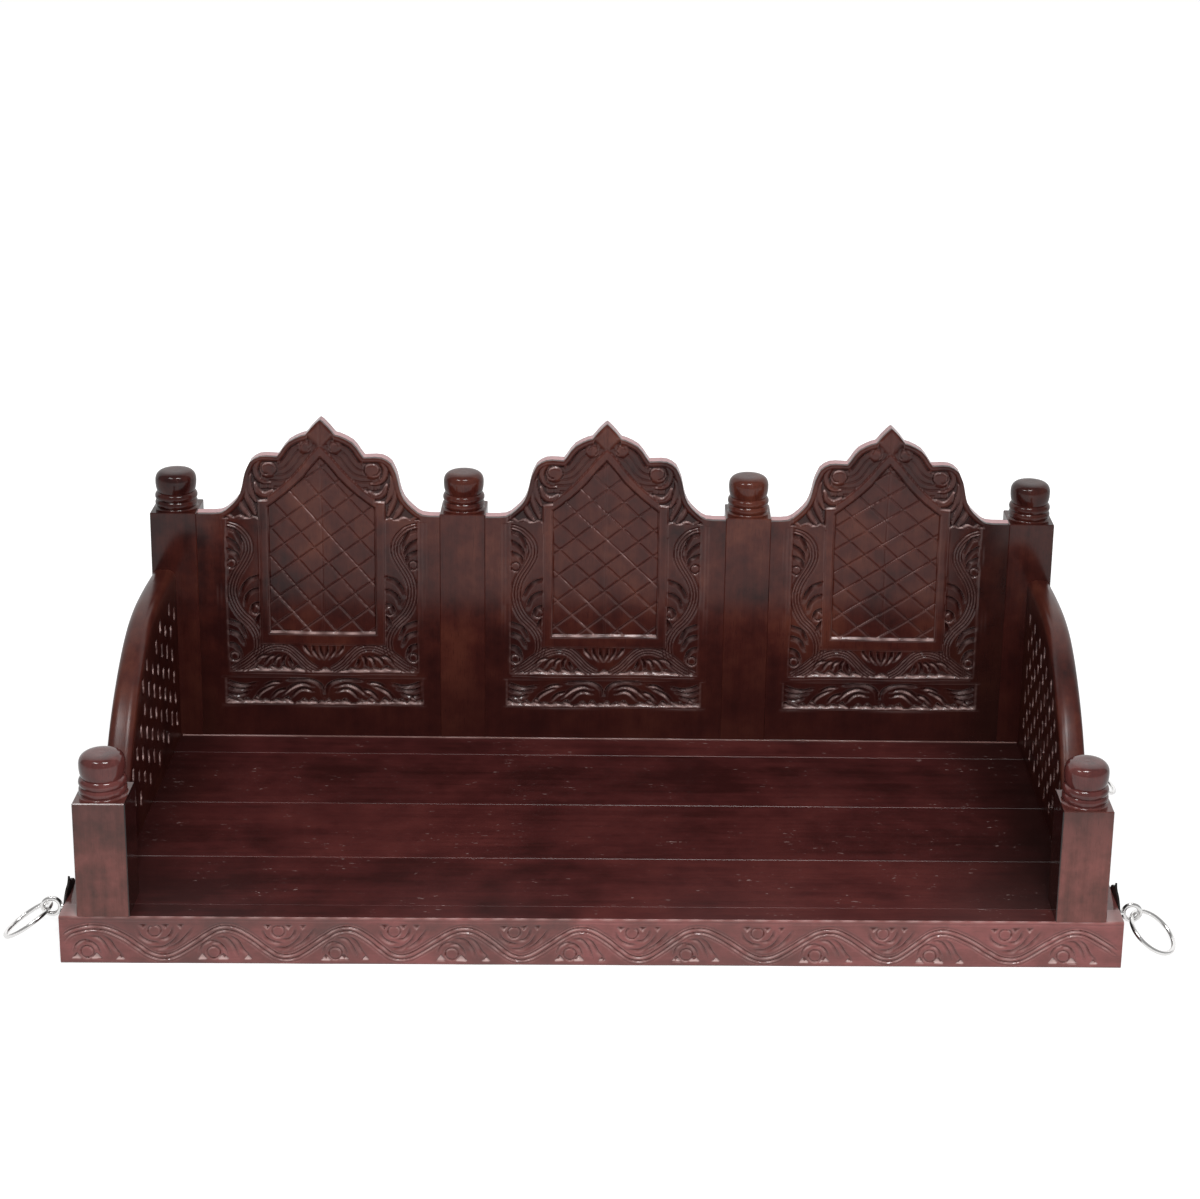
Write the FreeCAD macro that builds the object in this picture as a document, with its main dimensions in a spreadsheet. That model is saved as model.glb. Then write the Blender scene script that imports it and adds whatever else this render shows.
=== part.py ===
import FreeCAD, Part
import math
import os
import re

import Sketcher
from FreeCAD import Placement, Rotation, Vector

# Carved jhoola swing seat: a low wooden bench that hangs from four iron rings.
# Millimetres. X runs along the seat, +Y to the back, +Z up. The origin lies on
# the floor under the middle of the base.

SIZES = {
    # Base frame and seat.
    "swing_width": 1524,
    "swing_depth": 700,
    "rail_height": 74,
    "rail_thickness": 38,
    "rail_arris": 2,
    "side_tenon_thickness": 18,
    "side_tenon_height": 50,
    "side_tenon_length": 20,
    "plank_thickness": 25,
    "plank_gap": 0.8,
    "plank_arris": 0.8,
    "bearer_size": 45,
    "bearer_end_gap": 41.5,
    "bearer_housing": 6,
    "joint_clearance": 0.2,
    # Posts.
    "post_size": 74,
    "post_inset": 26,
    "post_arris": 1.2,
    "front_post_top": 248.5,
    "back_post_top": 463,
    "mid_post_top": 467,
    "finial_height": 62.5,
    "tenon_width": 40,
    "tenon_thickness": 18,
    "tenon_depth": 55,
    "peg_radius": 4,
    "peg_length": 30,
    "peg_drop": 27,
    # Back boards.
    "board_thickness": 26,
    "board_setback": 1,
    "board_top": 462,
    "panel_shift": 5,
    "panel_rise": 162,
    "panel_flat": 21,
    "field_half_width": 86.5,
    "field_bottom": 257,
    "field_shoulder": 478,
    "field_apex": 561,
    "field_depth": 5,
    "tongue_thickness": 12,
    "tongue_depth": 10,
    "board_tongue_top": 440,
    # Arms.
    "arm_thickness": 38,
    "arm_height": 292,
    "arm_edge_radius": 14,
    "arm_front_tongue": 44,
    "arm_back_tongue": 262,
    # Ironwork.
    "plate_half_width": 40,
    "plate_rise": 48,
    "plate_drop": 42,
    "plate_thickness": 3,
    "plate_screw_across": 26,
    "plate_screw_up": 16,
    "screw_radius": 2,
    "screw_length": 25,
    "screw_head_radius": 4.5,
    "screw_head_height": 2.2,
    "screw_clearance": 0.1,
    "bearer_screw_length": 60,
    "eye_radius": 12.5,
    "eye_wire_radius": 3.5,
    "eye_standoff": 28,
    "front_eye_setback": 80,
    "back_eye_setback": 100,
    "front_eye_height": 48,
    "back_eye_height": 42,
    "shank_radius": 4,
    "shank_tail": 1,
    "collar_radius": 8,
    "collar_length": 4,
    "bolt_clearance": 0.3,
    "counterbore_radius": 11,
    "counterbore_depth": 12,
    "washer_radius": 8.5,
    "washer_thickness": 1.6,
    "nut_radius": 7.5,
    "nut_height": 6.5,
    "ring_radius": 38,
    "ring_wire_radius": 3.5,
}

# Angles of the rings about the vertical, in degrees. Positive turns a ring's
# far side to the back. The slack is where a ring's wire crosses its eye, as a
# share of the eye's radius.
RINGS = {
    "front_left": {"side": -1, "yaw": 6, "slack_share": 0.408},
    "front_right": {"side": 1, "yaw": -29.5, "slack_share": 0.232},
    "back_left": {"side": -1, "yaw": 0, "slack_share": 0.416},
    "back_right": {"side": 1, "yaw": 0, "slack_share": 0.416},
}

# Seams between the seat planks: shares of the depth inside the rails.
SEAM_SHARES = [0, 0.242, 0.538, 0.837, 1]

# Half profile of a turned finial: radius as a share of half the post, height
# as a share of the finial's height.
NECK_SHARES = [(0.946, 0), (0.881, 0.018), (0.851, 0.042)]
LOWER_BEAD_SHARES = [(0.851, 0.042), (0.914, 0.136), (0.851, 0.230)]
UPPER_BEAD_SHARES = [(0.851, 0.230), (0.914, 0.330), (0.827, 0.429)]
BUN_SHARES = [(0.800, 0.438), (0.835, 0.496), (0.868, 0.592), (0.881, 0.704),
              (0.873, 0.800), (0.832, 0.880), (0.757, 0.938), (0.662, 0.974),
              (0.568, 0.987), (0.324, 0.997), (0, 1)]

# Half outline of a carved panel's top: share of the panel's half width from
# its middle, share of its rise above the board's flat top.
TIP_SHARES = [(0, 1), (0.023, 0.966), (0.051, 0.932), (0.086, 0.895), (0.114, 0.864),
              (0.134, 0.840)]
UPPER_LOBE_SHARES = [(0.134, 0.840), (0.177, 0.824), (0.234, 0.796), (0.291, 0.759),
                     (0.334, 0.707), (0.369, 0.648), (0.397, 0.605)]
LOWER_LOBE_SHARES = [(0.397, 0.605), (0.446, 0.608), (0.503, 0.611), (0.560, 0.605),
                     (0.609, 0.580), (0.649, 0.543), (0.674, 0.488), (0.694, 0.432),
                     (0.709, 0.367), (0.720, 0.302), (0.737, 0.235), (0.763, 0.173),
                     (0.800, 0.120), (0.843, 0.074), (0.886, 0.034), (0.931, 0.008),
                     (1, 0)]

# Crest of an arm from the back post to the front post: share of the arm's
# length from the front post, share of its height.
CREST_SHARES = [(1, 1), (0.880, 1.010), (0.772, 1.010), (0.699, 1.000), (0.627, 0.973),
                (0.554, 0.921), (0.482, 0.846), (0.409, 0.750), (0.355, 0.661),
                (0.310, 0.568), (0.268, 0.466), (0.237, 0.370), (0.192, 0.288),
                (0.138, 0.243), (0.065, 0.216), (0, 0.205)]

# Half outline of an iron plate: share of its half width, share of its rise
# above the bolt or of its drop below it.
PLATE_TIP_SHARES = [(0, 1), (0.125, 0.833), (0.300, 0.781)]
PLATE_EDGE_SHARES = [(0.300, 0.781), (0.650, 0.646), (0.900, 0.375), (1, 0),
                     (0.900, -0.430), (0.650, -0.738), (0.300, -0.905), (0, -1)]

doc = FreeCAD.newDocument("JhoolaSwing")
sheet = doc.addObject("Spreadsheet::Sheet", "Sizes")
for row, (alias, value) in enumerate(SIZES.items(), 1):
    sheet.set("A%d" % row, alias)
    sheet.set("B%d" % row, str(value))
    sheet.setAlias("B%d" % row, alias)
doc.recompute()


def size(alias):
    return float(sheet.get(alias))


def formula(text):
    """The sheet's own form of a sum written in size names."""
    return re.sub(r"[a-z][a-z_]*", lambda word: "Sizes." + word.group(), text)


def place(item, x, y, z, rotation=None):
    if rotation:
        item.Placement = Placement(Vector(), rotation)
    for axis, text in zip("xyz", (x, y, z)):
        item.setExpression("Placement.Base." + axis, formula(text))
    return item


def mirrored(side, low, high):
    """A span on the right side, or its mirror image on the left."""
    return (low, high) if side > 0 else ("-(%s)" % high, "-(%s)" % low)


def signed(side, text):
    return text if side > 0 else "-(%s)" % text


def box(name, xs, ys, zs):
    """Box between a low and a high formula along each axis."""
    item = place(doc.addObject("Part::Box", name), xs[0], ys[0], zs[0])
    for prop, (low, high) in zip(("Length", "Width", "Height"), (xs, ys, zs)):
        item.setExpression(prop, formula("(%s) - (%s)" % (high, low)))
    return item


TURN = {"x": Rotation(Vector(0, 1, 0), 90), "y": Rotation(Vector(1, 0, 0), -90), "z": None}


def rod(name, axis, start, radius, length):
    """Cylinder from a start point along +X, +Y or +Z."""
    item = place(doc.addObject("Part::Cylinder", name), *start, TURN[axis])
    item.setExpression("Radius", formula(radius))
    item.setExpression("Height", formula(length))
    return item


def compound(name, items):
    item = doc.addObject("Part::Compound", name)
    item.Links = items
    return item


def fuse(name, items):
    item = doc.addObject("Part::MultiFuse", name)
    item.Shapes = items
    return item


def cut(name, base, tools):
    item = doc.addObject("Part::Cut", name)
    item.Base = base
    item.Tool = compound(name + "_cuts", tools)
    return item


def ease(name, base, radius, test, kind="Part::Chamfer"):
    """Breaks the edges of a blank that the test picks."""
    doc.recompute()
    item = doc.addObject(kind, name)
    item.Base = base
    item.Edges = [(number, size(radius), size(radius))
                  for number, edge in enumerate(base.Shape.Edges, 1) if test(edge)]
    return item


def body(name, x, y, z, rotation=None):
    return place(doc.addObject("PartDesign::Body", name), x, y, z, rotation)


def sketch_in(owner, name, role):
    sketch = owner.newObject("Sketcher::SketchObject", name)
    plane = [item for item in owner.Origin.OriginFeatures if item.Role == role][0]
    sketch.AttachmentSupport = [(plane, "")]
    sketch.MapMode = "FlatFace"
    return sketch


def feature(owner, kind, name, **bindings):
    item = owner.newObject("PartDesign::" + kind, name)
    for prop, text in bindings.items():
        item.setExpression(prop, formula(text))
    return item


def block(owner, kind, name, xs, ys, zs):
    """Box added to a body or cut from it, between formulas on the body's axes."""
    item = feature(owner, kind, name)
    for axis, low in zip("xyz", (xs[0], ys[0], zs[0])):
        item.setExpression("Placement.Base." + axis, formula(low))
    for prop, (low, high) in zip(("Length", "Width", "Height"), (xs, ys, zs)):
        item.setExpression(prop, formula("(%s) - (%s)" % (high, low)))
    return item


def line(sketch, start, end):
    return sketch.addGeometry(Part.LineSegment(start, end))


def arc(sketch, points):
    return sketch.addGeometry(Part.Arc(*points))


def curve(sketch, points):
    spline = Part.BSplineCurve()
    spline.interpolate(points)
    return sketch.addGeometry(spline)


def scaled(shares, across, up, lift=0):
    return [Vector(a * across, b * up + lift, 0) for a, b in shares]


def flipped(points):
    return [Vector(-p.x, p.y, 0) for p in points]


def square(sketch, side):
    """A square about the sketch's origin, held by its side."""
    half = size(side) / 2
    corners = [Vector(-half, -half, 0), Vector(half, -half, 0), Vector(half, half, 0), Vector(-half, half, 0)]
    edges = [line(sketch, corners[i], corners[(i + 1) % 4]) for i in range(4)]
    for i in range(4):
        sketch.addConstraint(Sketcher.Constraint("Coincident", edges[i], 2, edges[(i + 1) % 4], 1))
    for i in (0, 2):
        sketch.addConstraint(Sketcher.Constraint("Horizontal", edges[i]))
        sketch.addConstraint(Sketcher.Constraint("Vertical", edges[i + 1]))
    sketch.addConstraint(Sketcher.Constraint("Symmetric", edges[0], 1, edges[2], 1, -1, 1))
    for kind, name, edge in (("DistanceX", "across", 0), ("DistanceY", "along", 1)):
        number = sketch.addConstraint(Sketcher.Constraint(kind, edges[edge], 1, edges[edge], 2, size(side)))
        sketch.renameConstraint(number, name)
        sketch.setExpression("Constraints." + name, formula(side))


# Places that several pieces share.
FRONT = "-swing_depth / 2"
BACK = "swing_depth / 2"
RAIL_BACK = FRONT + " + rail_thickness"
RAIL_FRONT = BACK + " - rail_thickness"
RAIL_IN = "swing_width / 2 - rail_thickness"
POST_OUT = "swing_width / 2 - post_inset"
POST_IN = POST_OUT + " - post_size"
PLANK_UNDER = "rail_height - plank_thickness"
PEG_LEVEL = "rail_height - peg_drop"
# The two middle posts part the back into three equal bays.
BAY = "((%s) * 2 - 2 * post_size) / 3" % POST_IN
MID_POST = "(%s) / 2 + post_size / 2" % BAY
# The outer panels stand a little nearer the middle than their bays do.
PANEL_PITCH = "(%s) + post_size - panel_shift" % BAY
SIDES = {"left": -1, "right": 1}
NODES = []


def node(item, label):
    item.Label = label
    NODES.append(item)
    return item


# Seat planks: four boards along the seat, flush with the rails round them.
seams = [RAIL_BACK + " + %s * (swing_depth - 2 * rail_thickness)" % share for share in SEAM_SHARES]
BEARER_SHARES = [-1, -0.5, 0, 0.5, 1]
bearer_xs = ["%s * (%s - bearer_end_gap - bearer_size / 2)" % (share, RAIL_IN) for share in BEARER_SHARES]
plank_middles = ["(%s + (%s)) / 2" % (seams[i], seams[i + 1]) for i in range(4)]


def bearer_screw_rods(name, x, y, spread):
    """Shank and countersunk head of a screw driven up from under a bearer."""
    low = PLANK_UNDER + " - bearer_size"
    shank = rod(name + "_shank", "z", (x, y, low), "screw_radius + " + spread, "bearer_screw_length + " + spread)
    head = place(doc.addObject("Part::Cone", name + "_head"), x, y, low)
    head.setExpression("Radius1", formula("screw_head_radius + " + spread))
    head.setExpression("Radius2", formula("screw_radius + " + spread))
    head.setExpression("Height", formula("screw_head_height + " + spread))
    return [shank, head]


for i in range(4):
    front_gap = "plank_gap / 2" if i > 0 else "0"
    back_gap = "plank_gap / 2" if i < 3 else "0"
    blank = box("seat_plank_blank_%d" % (i + 1), ("-(%s)" % RAIL_IN, RAIL_IN),
                (seams[i] + " + " + front_gap, seams[i + 1] + " - " + back_gap), (PLANK_UNDER, "rail_height"))
    top = size("rail_height")
    eased = ease("seat_plank_eased_%d" % (i + 1), blank, "plank_arris",
                 lambda edge: edge.BoundBox.ZMin > top - size("plank_arris")
                 and edge.BoundBox.XLength > edge.BoundBox.YLength)
    holes = [rod("seat_plank_%d_hole_%d" % (i + 1, j), "z", (x, plank_middles[i], PLANK_UNDER),
                 "screw_radius + screw_clearance",
                 "bearer_screw_length - bearer_size + screw_clearance")
             for j, x in enumerate(bearer_xs)]
    node(cut("seat_plank_%d_cut" % (i + 1), eased, holes), "seat_plank_%d" % (i + 1))

# Bearers: five battens under the planks, housed in the front and back rails.
bearer_screws = []
for j, x in enumerate(bearer_xs):
    blank = box("bearer_blank_%d" % (j + 1), (x + " - bearer_size / 2", x + " + bearer_size / 2"),
                (RAIL_BACK + " - bearer_housing", RAIL_FRONT + " + bearer_housing"),
                (PLANK_UNDER + " - bearer_size", PLANK_UNDER))
    holes = []
    for i, y in enumerate(plank_middles):
        holes += bearer_screw_rods("bearer_%d_hole_%d" % (j + 1, i + 1), x, y, "screw_clearance")
        bearer_screws.append(fuse("bearer_screw_%d_%d" % (j + 1, i + 1),
                                  bearer_screw_rods("bearer_screw_%d_%d" % (j + 1, i + 1), x, y, "0")))
    node(cut("bearer_%d_cut" % (j + 1), blank, [fuse("bearer_%d_holes" % (j + 1), holes)]), "bearer_%d" % (j + 1))
node(compound("bearer_screw_set", bearer_screws), "bearer_screws")

# Front and back rails: mortises for the posts' tenons, housings for the
# bearers and blind mortises for the side rails.
posts = {"front_post_left": (signed(-1, POST_IN + " + post_size / 2"), "front"),
         "front_post_right": (POST_IN + " + post_size / 2", "front"),
         "back_post_left": (signed(-1, POST_IN + " + post_size / 2"), "back"),
         "back_post_right": (POST_IN + " + post_size / 2", "back"),
         "mid_post_left": (signed(-1, MID_POST), "back"),
         "mid_post_right": (MID_POST, "back")}
pegs = []
for name in ("front", "back"):
    outer, inner = (FRONT, RAIL_BACK) if name == "front" else (BACK, RAIL_FRONT)
    toward = "+" if name == "front" else "-"
    blank = box(name + "_rail_blank", ("-swing_width / 2", "swing_width / 2"), tuple(
        (outer, inner) if name == "front" else (inner, outer)), ("0", "rail_height"))
    middle = "%s %s rail_thickness / 2" % (outer, toward)
    cuts = []
    for post, (x, row) in posts.items():
        if row != name:
            continue
        cuts.append(box(post + "_mortise",
                        ("%s - tenon_width / 2 - joint_clearance" % x, "%s + tenon_width / 2 + joint_clearance" % x),
                        ("%s - tenon_thickness / 2 - joint_clearance" % middle,
                         "%s + tenon_thickness / 2 + joint_clearance" % middle),
                        ("rail_height - tenon_depth - joint_clearance", "rail_height + joint_clearance")))
        start = inner + " - peg_length" if name == "front" else inner
        cuts.append(rod(post + "_peg_hole", "y", (x, start, PEG_LEVEL), "peg_radius + screw_clearance", "peg_length"))
        pegs.append(rod(post + "_peg", "y", (x, start, PEG_LEVEL), "peg_radius", "peg_length"))
    for side in (-1, 1):
        across = mirrored(side, "swing_width / 2 - rail_thickness / 2 - side_tenon_thickness / 2 - joint_clearance",
                          "swing_width / 2 - rail_thickness / 2 + side_tenon_thickness / 2 + joint_clearance")
        deep = "%s - %s(side_tenon_length + joint_clearance)" % (inner, "" if name == "front" else "-")
        cuts.append(box("%s_rail_side_mortise_%d" % (name, side + 1), across,
                        (deep, inner) if name == "front" else (inner, deep),
                        ("rail_height / 2 - side_tenon_height / 2 - joint_clearance",
                         "rail_height / 2 + side_tenon_height / 2 + joint_clearance")))
    for j, x in enumerate(bearer_xs):
        deep = "%s - %s(bearer_housing + joint_clearance)" % (inner, "" if name == "front" else "-")
        cuts.append(box("%s_rail_housing_%d" % (name, j + 1),
                        (x + " - bearer_size / 2 - joint_clearance", x + " + bearer_size / 2 + joint_clearance"),
                        (deep, inner) if name == "front" else (inner, deep),
                        (PLANK_UNDER + " - bearer_size - joint_clearance", PLANK_UNDER + " + joint_clearance")))
    face = -size("swing_depth") / 2 if name == "front" else size("swing_depth") / 2
    eased = ease(name + "_rail_eased", blank, "rail_arris",
                 lambda edge: edge.BoundBox.ZMin > size("rail_height") / 2
                 and abs(edge.BoundBox.Center.y - face) < size("rail_arris")
                 and edge.BoundBox.XLength > size("rail_height"), "Part::Fillet")
    node(cut(name + "_rail_cut", eased, [fuse(name + "_rail_tools", cuts)]), name + "_rail")
node(compound("peg_set", pegs), "tenon_pegs")

# Ironwork places. The eye bolts stand out of the side rails.
EYES = {}
for name, ring in RINGS.items():
    row = name.split("_")[0]
    EYES[name] = {
        "side": ring["side"],
        "y": FRONT + " + front_eye_setback" if row == "front" else BACK + " - back_eye_setback",
        "z": row + "_eye_height",
    }
SCREW_PLACES = [(a, b) for a in ("-", "") for b in ("- ", "+ ")]

# Side rails between the front and back rails, bored for the eye bolts.
for name, side in SIDES.items():
    blank = box("side_rail_%s_blank" % name, mirrored(side, RAIL_IN, "swing_width / 2"),
                (RAIL_BACK, RAIL_FRONT), ("0", "rail_height"))
    tenons = [box("side_rail_%s_%s_tenon" % (name, end),
                  mirrored(side, "swing_width / 2 - rail_thickness / 2 - side_tenon_thickness / 2",
                           "swing_width / 2 - rail_thickness / 2 + side_tenon_thickness / 2"), reach,
                  ("rail_height / 2 - side_tenon_height / 2", "rail_height / 2 + side_tenon_height / 2"))
              for end, reach in (("front", (RAIL_BACK + " - side_tenon_length", RAIL_BACK)),
                                 ("back", (RAIL_FRONT, RAIL_FRONT + " + side_tenon_length")))]
    face = side * size("swing_width") / 2
    eased = ease("side_rail_%s_eased" % name, blank, "rail_arris",
                 lambda edge: edge.BoundBox.ZMin > size("rail_height") / 2
                 and abs(edge.BoundBox.Center.x - face) < size("rail_arris")
                 and edge.BoundBox.YLength > size("rail_height"), "Part::Fillet")
    holes = []
    for eye, at in EYES.items():
        if at["side"] != side:
            continue
        bore = mirrored(side, RAIL_IN, "swing_width / 2")[0]
        holes.append(rod(eye + "_bolt_hole", "x", (bore, at["y"], at["z"]),
                         "shank_radius + bolt_clearance", "rail_thickness"))
        mouth = mirrored(side, RAIL_IN, RAIL_IN + " + counterbore_depth")[0]
        holes.append(rod(eye + "_counterbore", "x", (mouth, at["y"], at["z"]),
                         "counterbore_radius", "counterbore_depth"))
        for i, (a, b) in enumerate(SCREW_PLACES):
            pilot = mirrored(side, "swing_width / 2 + plate_thickness - screw_length", "swing_width / 2")[0]
            holes.append(rod("%s_pilot_%d" % (eye, i), "x",
                             (pilot, "%s + %splate_screw_across" % (at["y"], a), "%s %splate_screw_up" % (at["z"], b)),
                             "screw_radius + screw_clearance", "screw_length - plate_thickness"))
    node(cut("side_rail_%s_cut" % name, fuse("side_rail_%s_body" % name, [eased] + tenons),
             [fuse("side_rail_%s_tools" % name, holes)]), "side_rail_" + name)

# Posts: a square post with a turned finial, a tenon into the rail below and
# grooves for the tongues of what meets it.
ARM_SHIFT = "(post_size / 2 - arm_thickness / 2)"
BOARD_SHIFT = "-post_size / 2 + board_setback + board_thickness / 2"


def groove(owner, name, centre, face, top):
    """Stopped groove for a tongue. The face is +x, -x, +y or -y of the post."""
    across = ("%s - tongue_thickness / 2 - joint_clearance" % centre,
              "%s + tongue_thickness / 2 + joint_clearance" % centre)
    near = "post_size / 2 - tongue_depth - joint_clearance"
    deep = (near, "post_size / 2") if face[0] == "+" else ("-post_size / 2", "-(%s)" % near)
    xs, ys = (deep, across) if face[1] == "x" else (across, deep)
    block(owner, "SubtractiveBox", name, xs, ys, ("0", top + " + joint_clearance"))


for name, (x, row) in posts.items():
    front = row == "front"
    corner = not name.startswith("mid")
    side = -1 if name.endswith("left") else 1
    top = "front_post_top" if front else "back_post_top" if corner else "mid_post_top"
    y = FRONT + " + post_size / 2" if front else BACK + " - post_size / 2"
    post = body(name, x, y, "rail_height")
    sketch = sketch_in(post, name + "_section", "XY_Plane")
    square(sketch, "post_size")
    pad = feature(post, "Pad", name + "_pad", Length=top + " - rail_height")
    pad.Profile = sketch
    doc.recompute()
    chamfer = feature(post, "Chamfer", name + "_arris", Size="post_arris")
    chamfer.Base = (pad, ["Edge%d" % number for number, edge in enumerate(pad.Shape.Edges, 1)
                          if edge.BoundBox.ZMax > size("post_size") / 2])
    turned = sketch_in(post, name + "_finial_profile", "XZ_Plane")
    turned.setExpression("AttachmentOffset.Base.y", formula(top + " - rail_height"))
    half, tall = size("post_size") / 2, size("finial_height")
    neck, lower, upper, bun = (scaled(s, half, tall) for s in (
        NECK_SHARES, LOWER_BEAD_SHARES, UPPER_BEAD_SHARES, BUN_SHARES))
    line(turned, bun[-1], Vector(0, 0, 0))
    line(turned, Vector(0, 0, 0), neck[0])
    for points in (neck, lower, upper):
        arc(turned, points)
    line(turned, upper[-1], bun[0])
    curve(turned, bun)
    finial = feature(post, "Revolution", name + "_finial")
    finial.Profile = turned
    finial.ReferenceAxis = (turned, ["V_Axis"])
    finial.Angle = 360
    tenon_y = "%spost_size / 2 %s rail_thickness / 2" % (("-", "+") if front else ("", "-"))
    block(post, "AdditiveBox", name + "_tenon", ("-tenon_width / 2", "tenon_width / 2"),
          (tenon_y + " - tenon_thickness / 2", tenon_y + " + tenon_thickness / 2"), ("-tenon_depth", "0"))
    hole = feature(post, "SubtractiveCylinder", name + "_peg_bore", Radius="peg_radius + screw_clearance",
                   Height="tenon_thickness")
    hole.Placement = Placement(Vector(), TURN["y"])
    hole.setExpression("Placement.Base.y", formula(tenon_y + " - tenon_thickness / 2"))
    hole.setExpression("Placement.Base.z", formula("-peg_drop"))
    if corner:
        groove(post, name + "_arm_groove", signed(side, ARM_SHIFT), "+y" if front else "-y",
               "arm_front_tongue" if front else "arm_back_tongue")
    if not front:
        for face in (("+x",) if corner and side < 0 else ("-x",) if corner else ("+x", "-x")):
            groove(post, name + "_board_groove_" + ("right" if face == "+x" else "left"), BOARD_SHIFT, face,
                   "board_tongue_top - rail_height")
    node(post, name)

# Back boards: each stands on the seat between two posts and rises to a
# pointed, lobed panel with a sunk field.
half_bay = (size("swing_width") / 2 - size("post_inset") - size("post_size") * 2) / 3
boards = {"back_board_left": ("-(%s)" % PANEL_PITCH, -1), "back_board_centre": ("0", 0),
          "back_board_right": (PANEL_PITCH, 1)}
for name, (x, shift) in boards.items():
    low = "-(%s) / 2 + %d * panel_shift" % (BAY, shift)
    high = "(%s) / 2 + %d * panel_shift" % (BAY, shift)
    board = body(name, x, BACK + " - post_size + board_setback + board_thickness", "rail_height")
    outline = sketch_in(board, name + "_outline", "XZ_Plane")
    flat = size("board_top") - size("rail_height")
    tip, upper, lower = (scaled(s, half_bay - size("panel_flat"), size("panel_rise"), flat) for s in (
        TIP_SHARES, UPPER_LOBE_SHARES, LOWER_LOBE_SHARES))
    left, right = (end * half_bay + shift * size("panel_shift") for end in (-1, 1))
    for points in (tip, upper, lower):
        curve(outline, points)
        curve(outline, flipped(points))
    ring = [Vector(-lower[-1].x, flat, 0), Vector(left, flat, 0), Vector(left, 0, 0), Vector(right, 0, 0),
            Vector(right, flat, 0), Vector(lower[-1].x, flat, 0)]
    for start, end in zip(ring, ring[1:]):
        line(outline, start, end)
    pad = feature(board, "Pad", name + "_pad", Length="board_thickness")
    pad.Profile = outline
    field = sketch_in(board, name + "_field", "XZ_Plane")
    field.setExpression("AttachmentOffset.Base.z", formula("board_thickness"))
    seat = size("rail_height")
    wide, base = size("field_half_width"), size("field_bottom") - seat
    shoulder, apex = size("field_shoulder") - seat, size("field_apex") - seat
    corners = [Vector(-wide, base, 0), Vector(wide, base, 0), Vector(wide, shoulder, 0), Vector(0, apex, 0),
               Vector(-wide, shoulder, 0)]
    for i in range(len(corners)):
        line(field, corners[i], corners[(i + 1) % len(corners)])
    pocket = feature(board, "Pocket", name + "_sunk_field", Length="field_depth")
    pocket.Profile = field
    middle = "-board_thickness / 2"
    for end, xs in (("left", (low + " - tongue_depth", low)), ("right", (high, high + " + tongue_depth"))):
        block(board, "AdditiveBox", "%s_tongue_%s" % (name, end), xs,
              (middle + " - tongue_thickness / 2", middle + " + tongue_thickness / 2"),
              ("0", "board_tongue_top - rail_height"))
    node(board, name)

# Arms: each stands on the seat between the front and back corner posts, with
# a crest that sweeps down to the front and well rounded top edges.
for name, side in SIDES.items():
    label = "arm_" + name
    arm = body(label, mirrored(side, POST_OUT + " - arm_thickness", POST_OUT)[0], FRONT + " + post_size",
               "rail_height")
    outline = sketch_in(arm, label + "_outline", "YZ_Plane")
    length = size("swing_depth") - 2 * size("post_size")
    crest = scaled(CREST_SHARES, length, size("arm_height"))
    curve(outline, crest)
    line(outline, crest[-1], Vector(0, 0, 0))
    line(outline, Vector(0, 0, 0), Vector(length, 0, 0))
    line(outline, Vector(length, 0, 0), crest[0])
    pad = feature(arm, "Pad", label + "_pad", Length="arm_thickness")
    pad.Profile = outline
    doc.recompute()
    rounding = feature(arm, "Fillet", label + "_rounding", Radius="arm_edge_radius")
    rounding.Base = (pad, ["Edge%d" % number for number, edge in enumerate(pad.Shape.Edges, 1)
                           if edge.Curve.TypeId == "Part::GeomBSplineCurve"])
    middle = "arm_thickness / 2"
    for end, ys, top in (("front", ("-tongue_depth", "0"), "arm_front_tongue"),
                         ("back", ("swing_depth - 2 * post_size", "swing_depth - 2 * post_size + tongue_depth"),
                          "arm_back_tongue")):
        block(arm, "AdditiveBox", "%s_tongue_%s" % (label, end),
              (middle + " - tongue_thickness / 2", middle + " + tongue_thickness / 2"), ys, ("0", top))
    node(arm, label)

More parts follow.
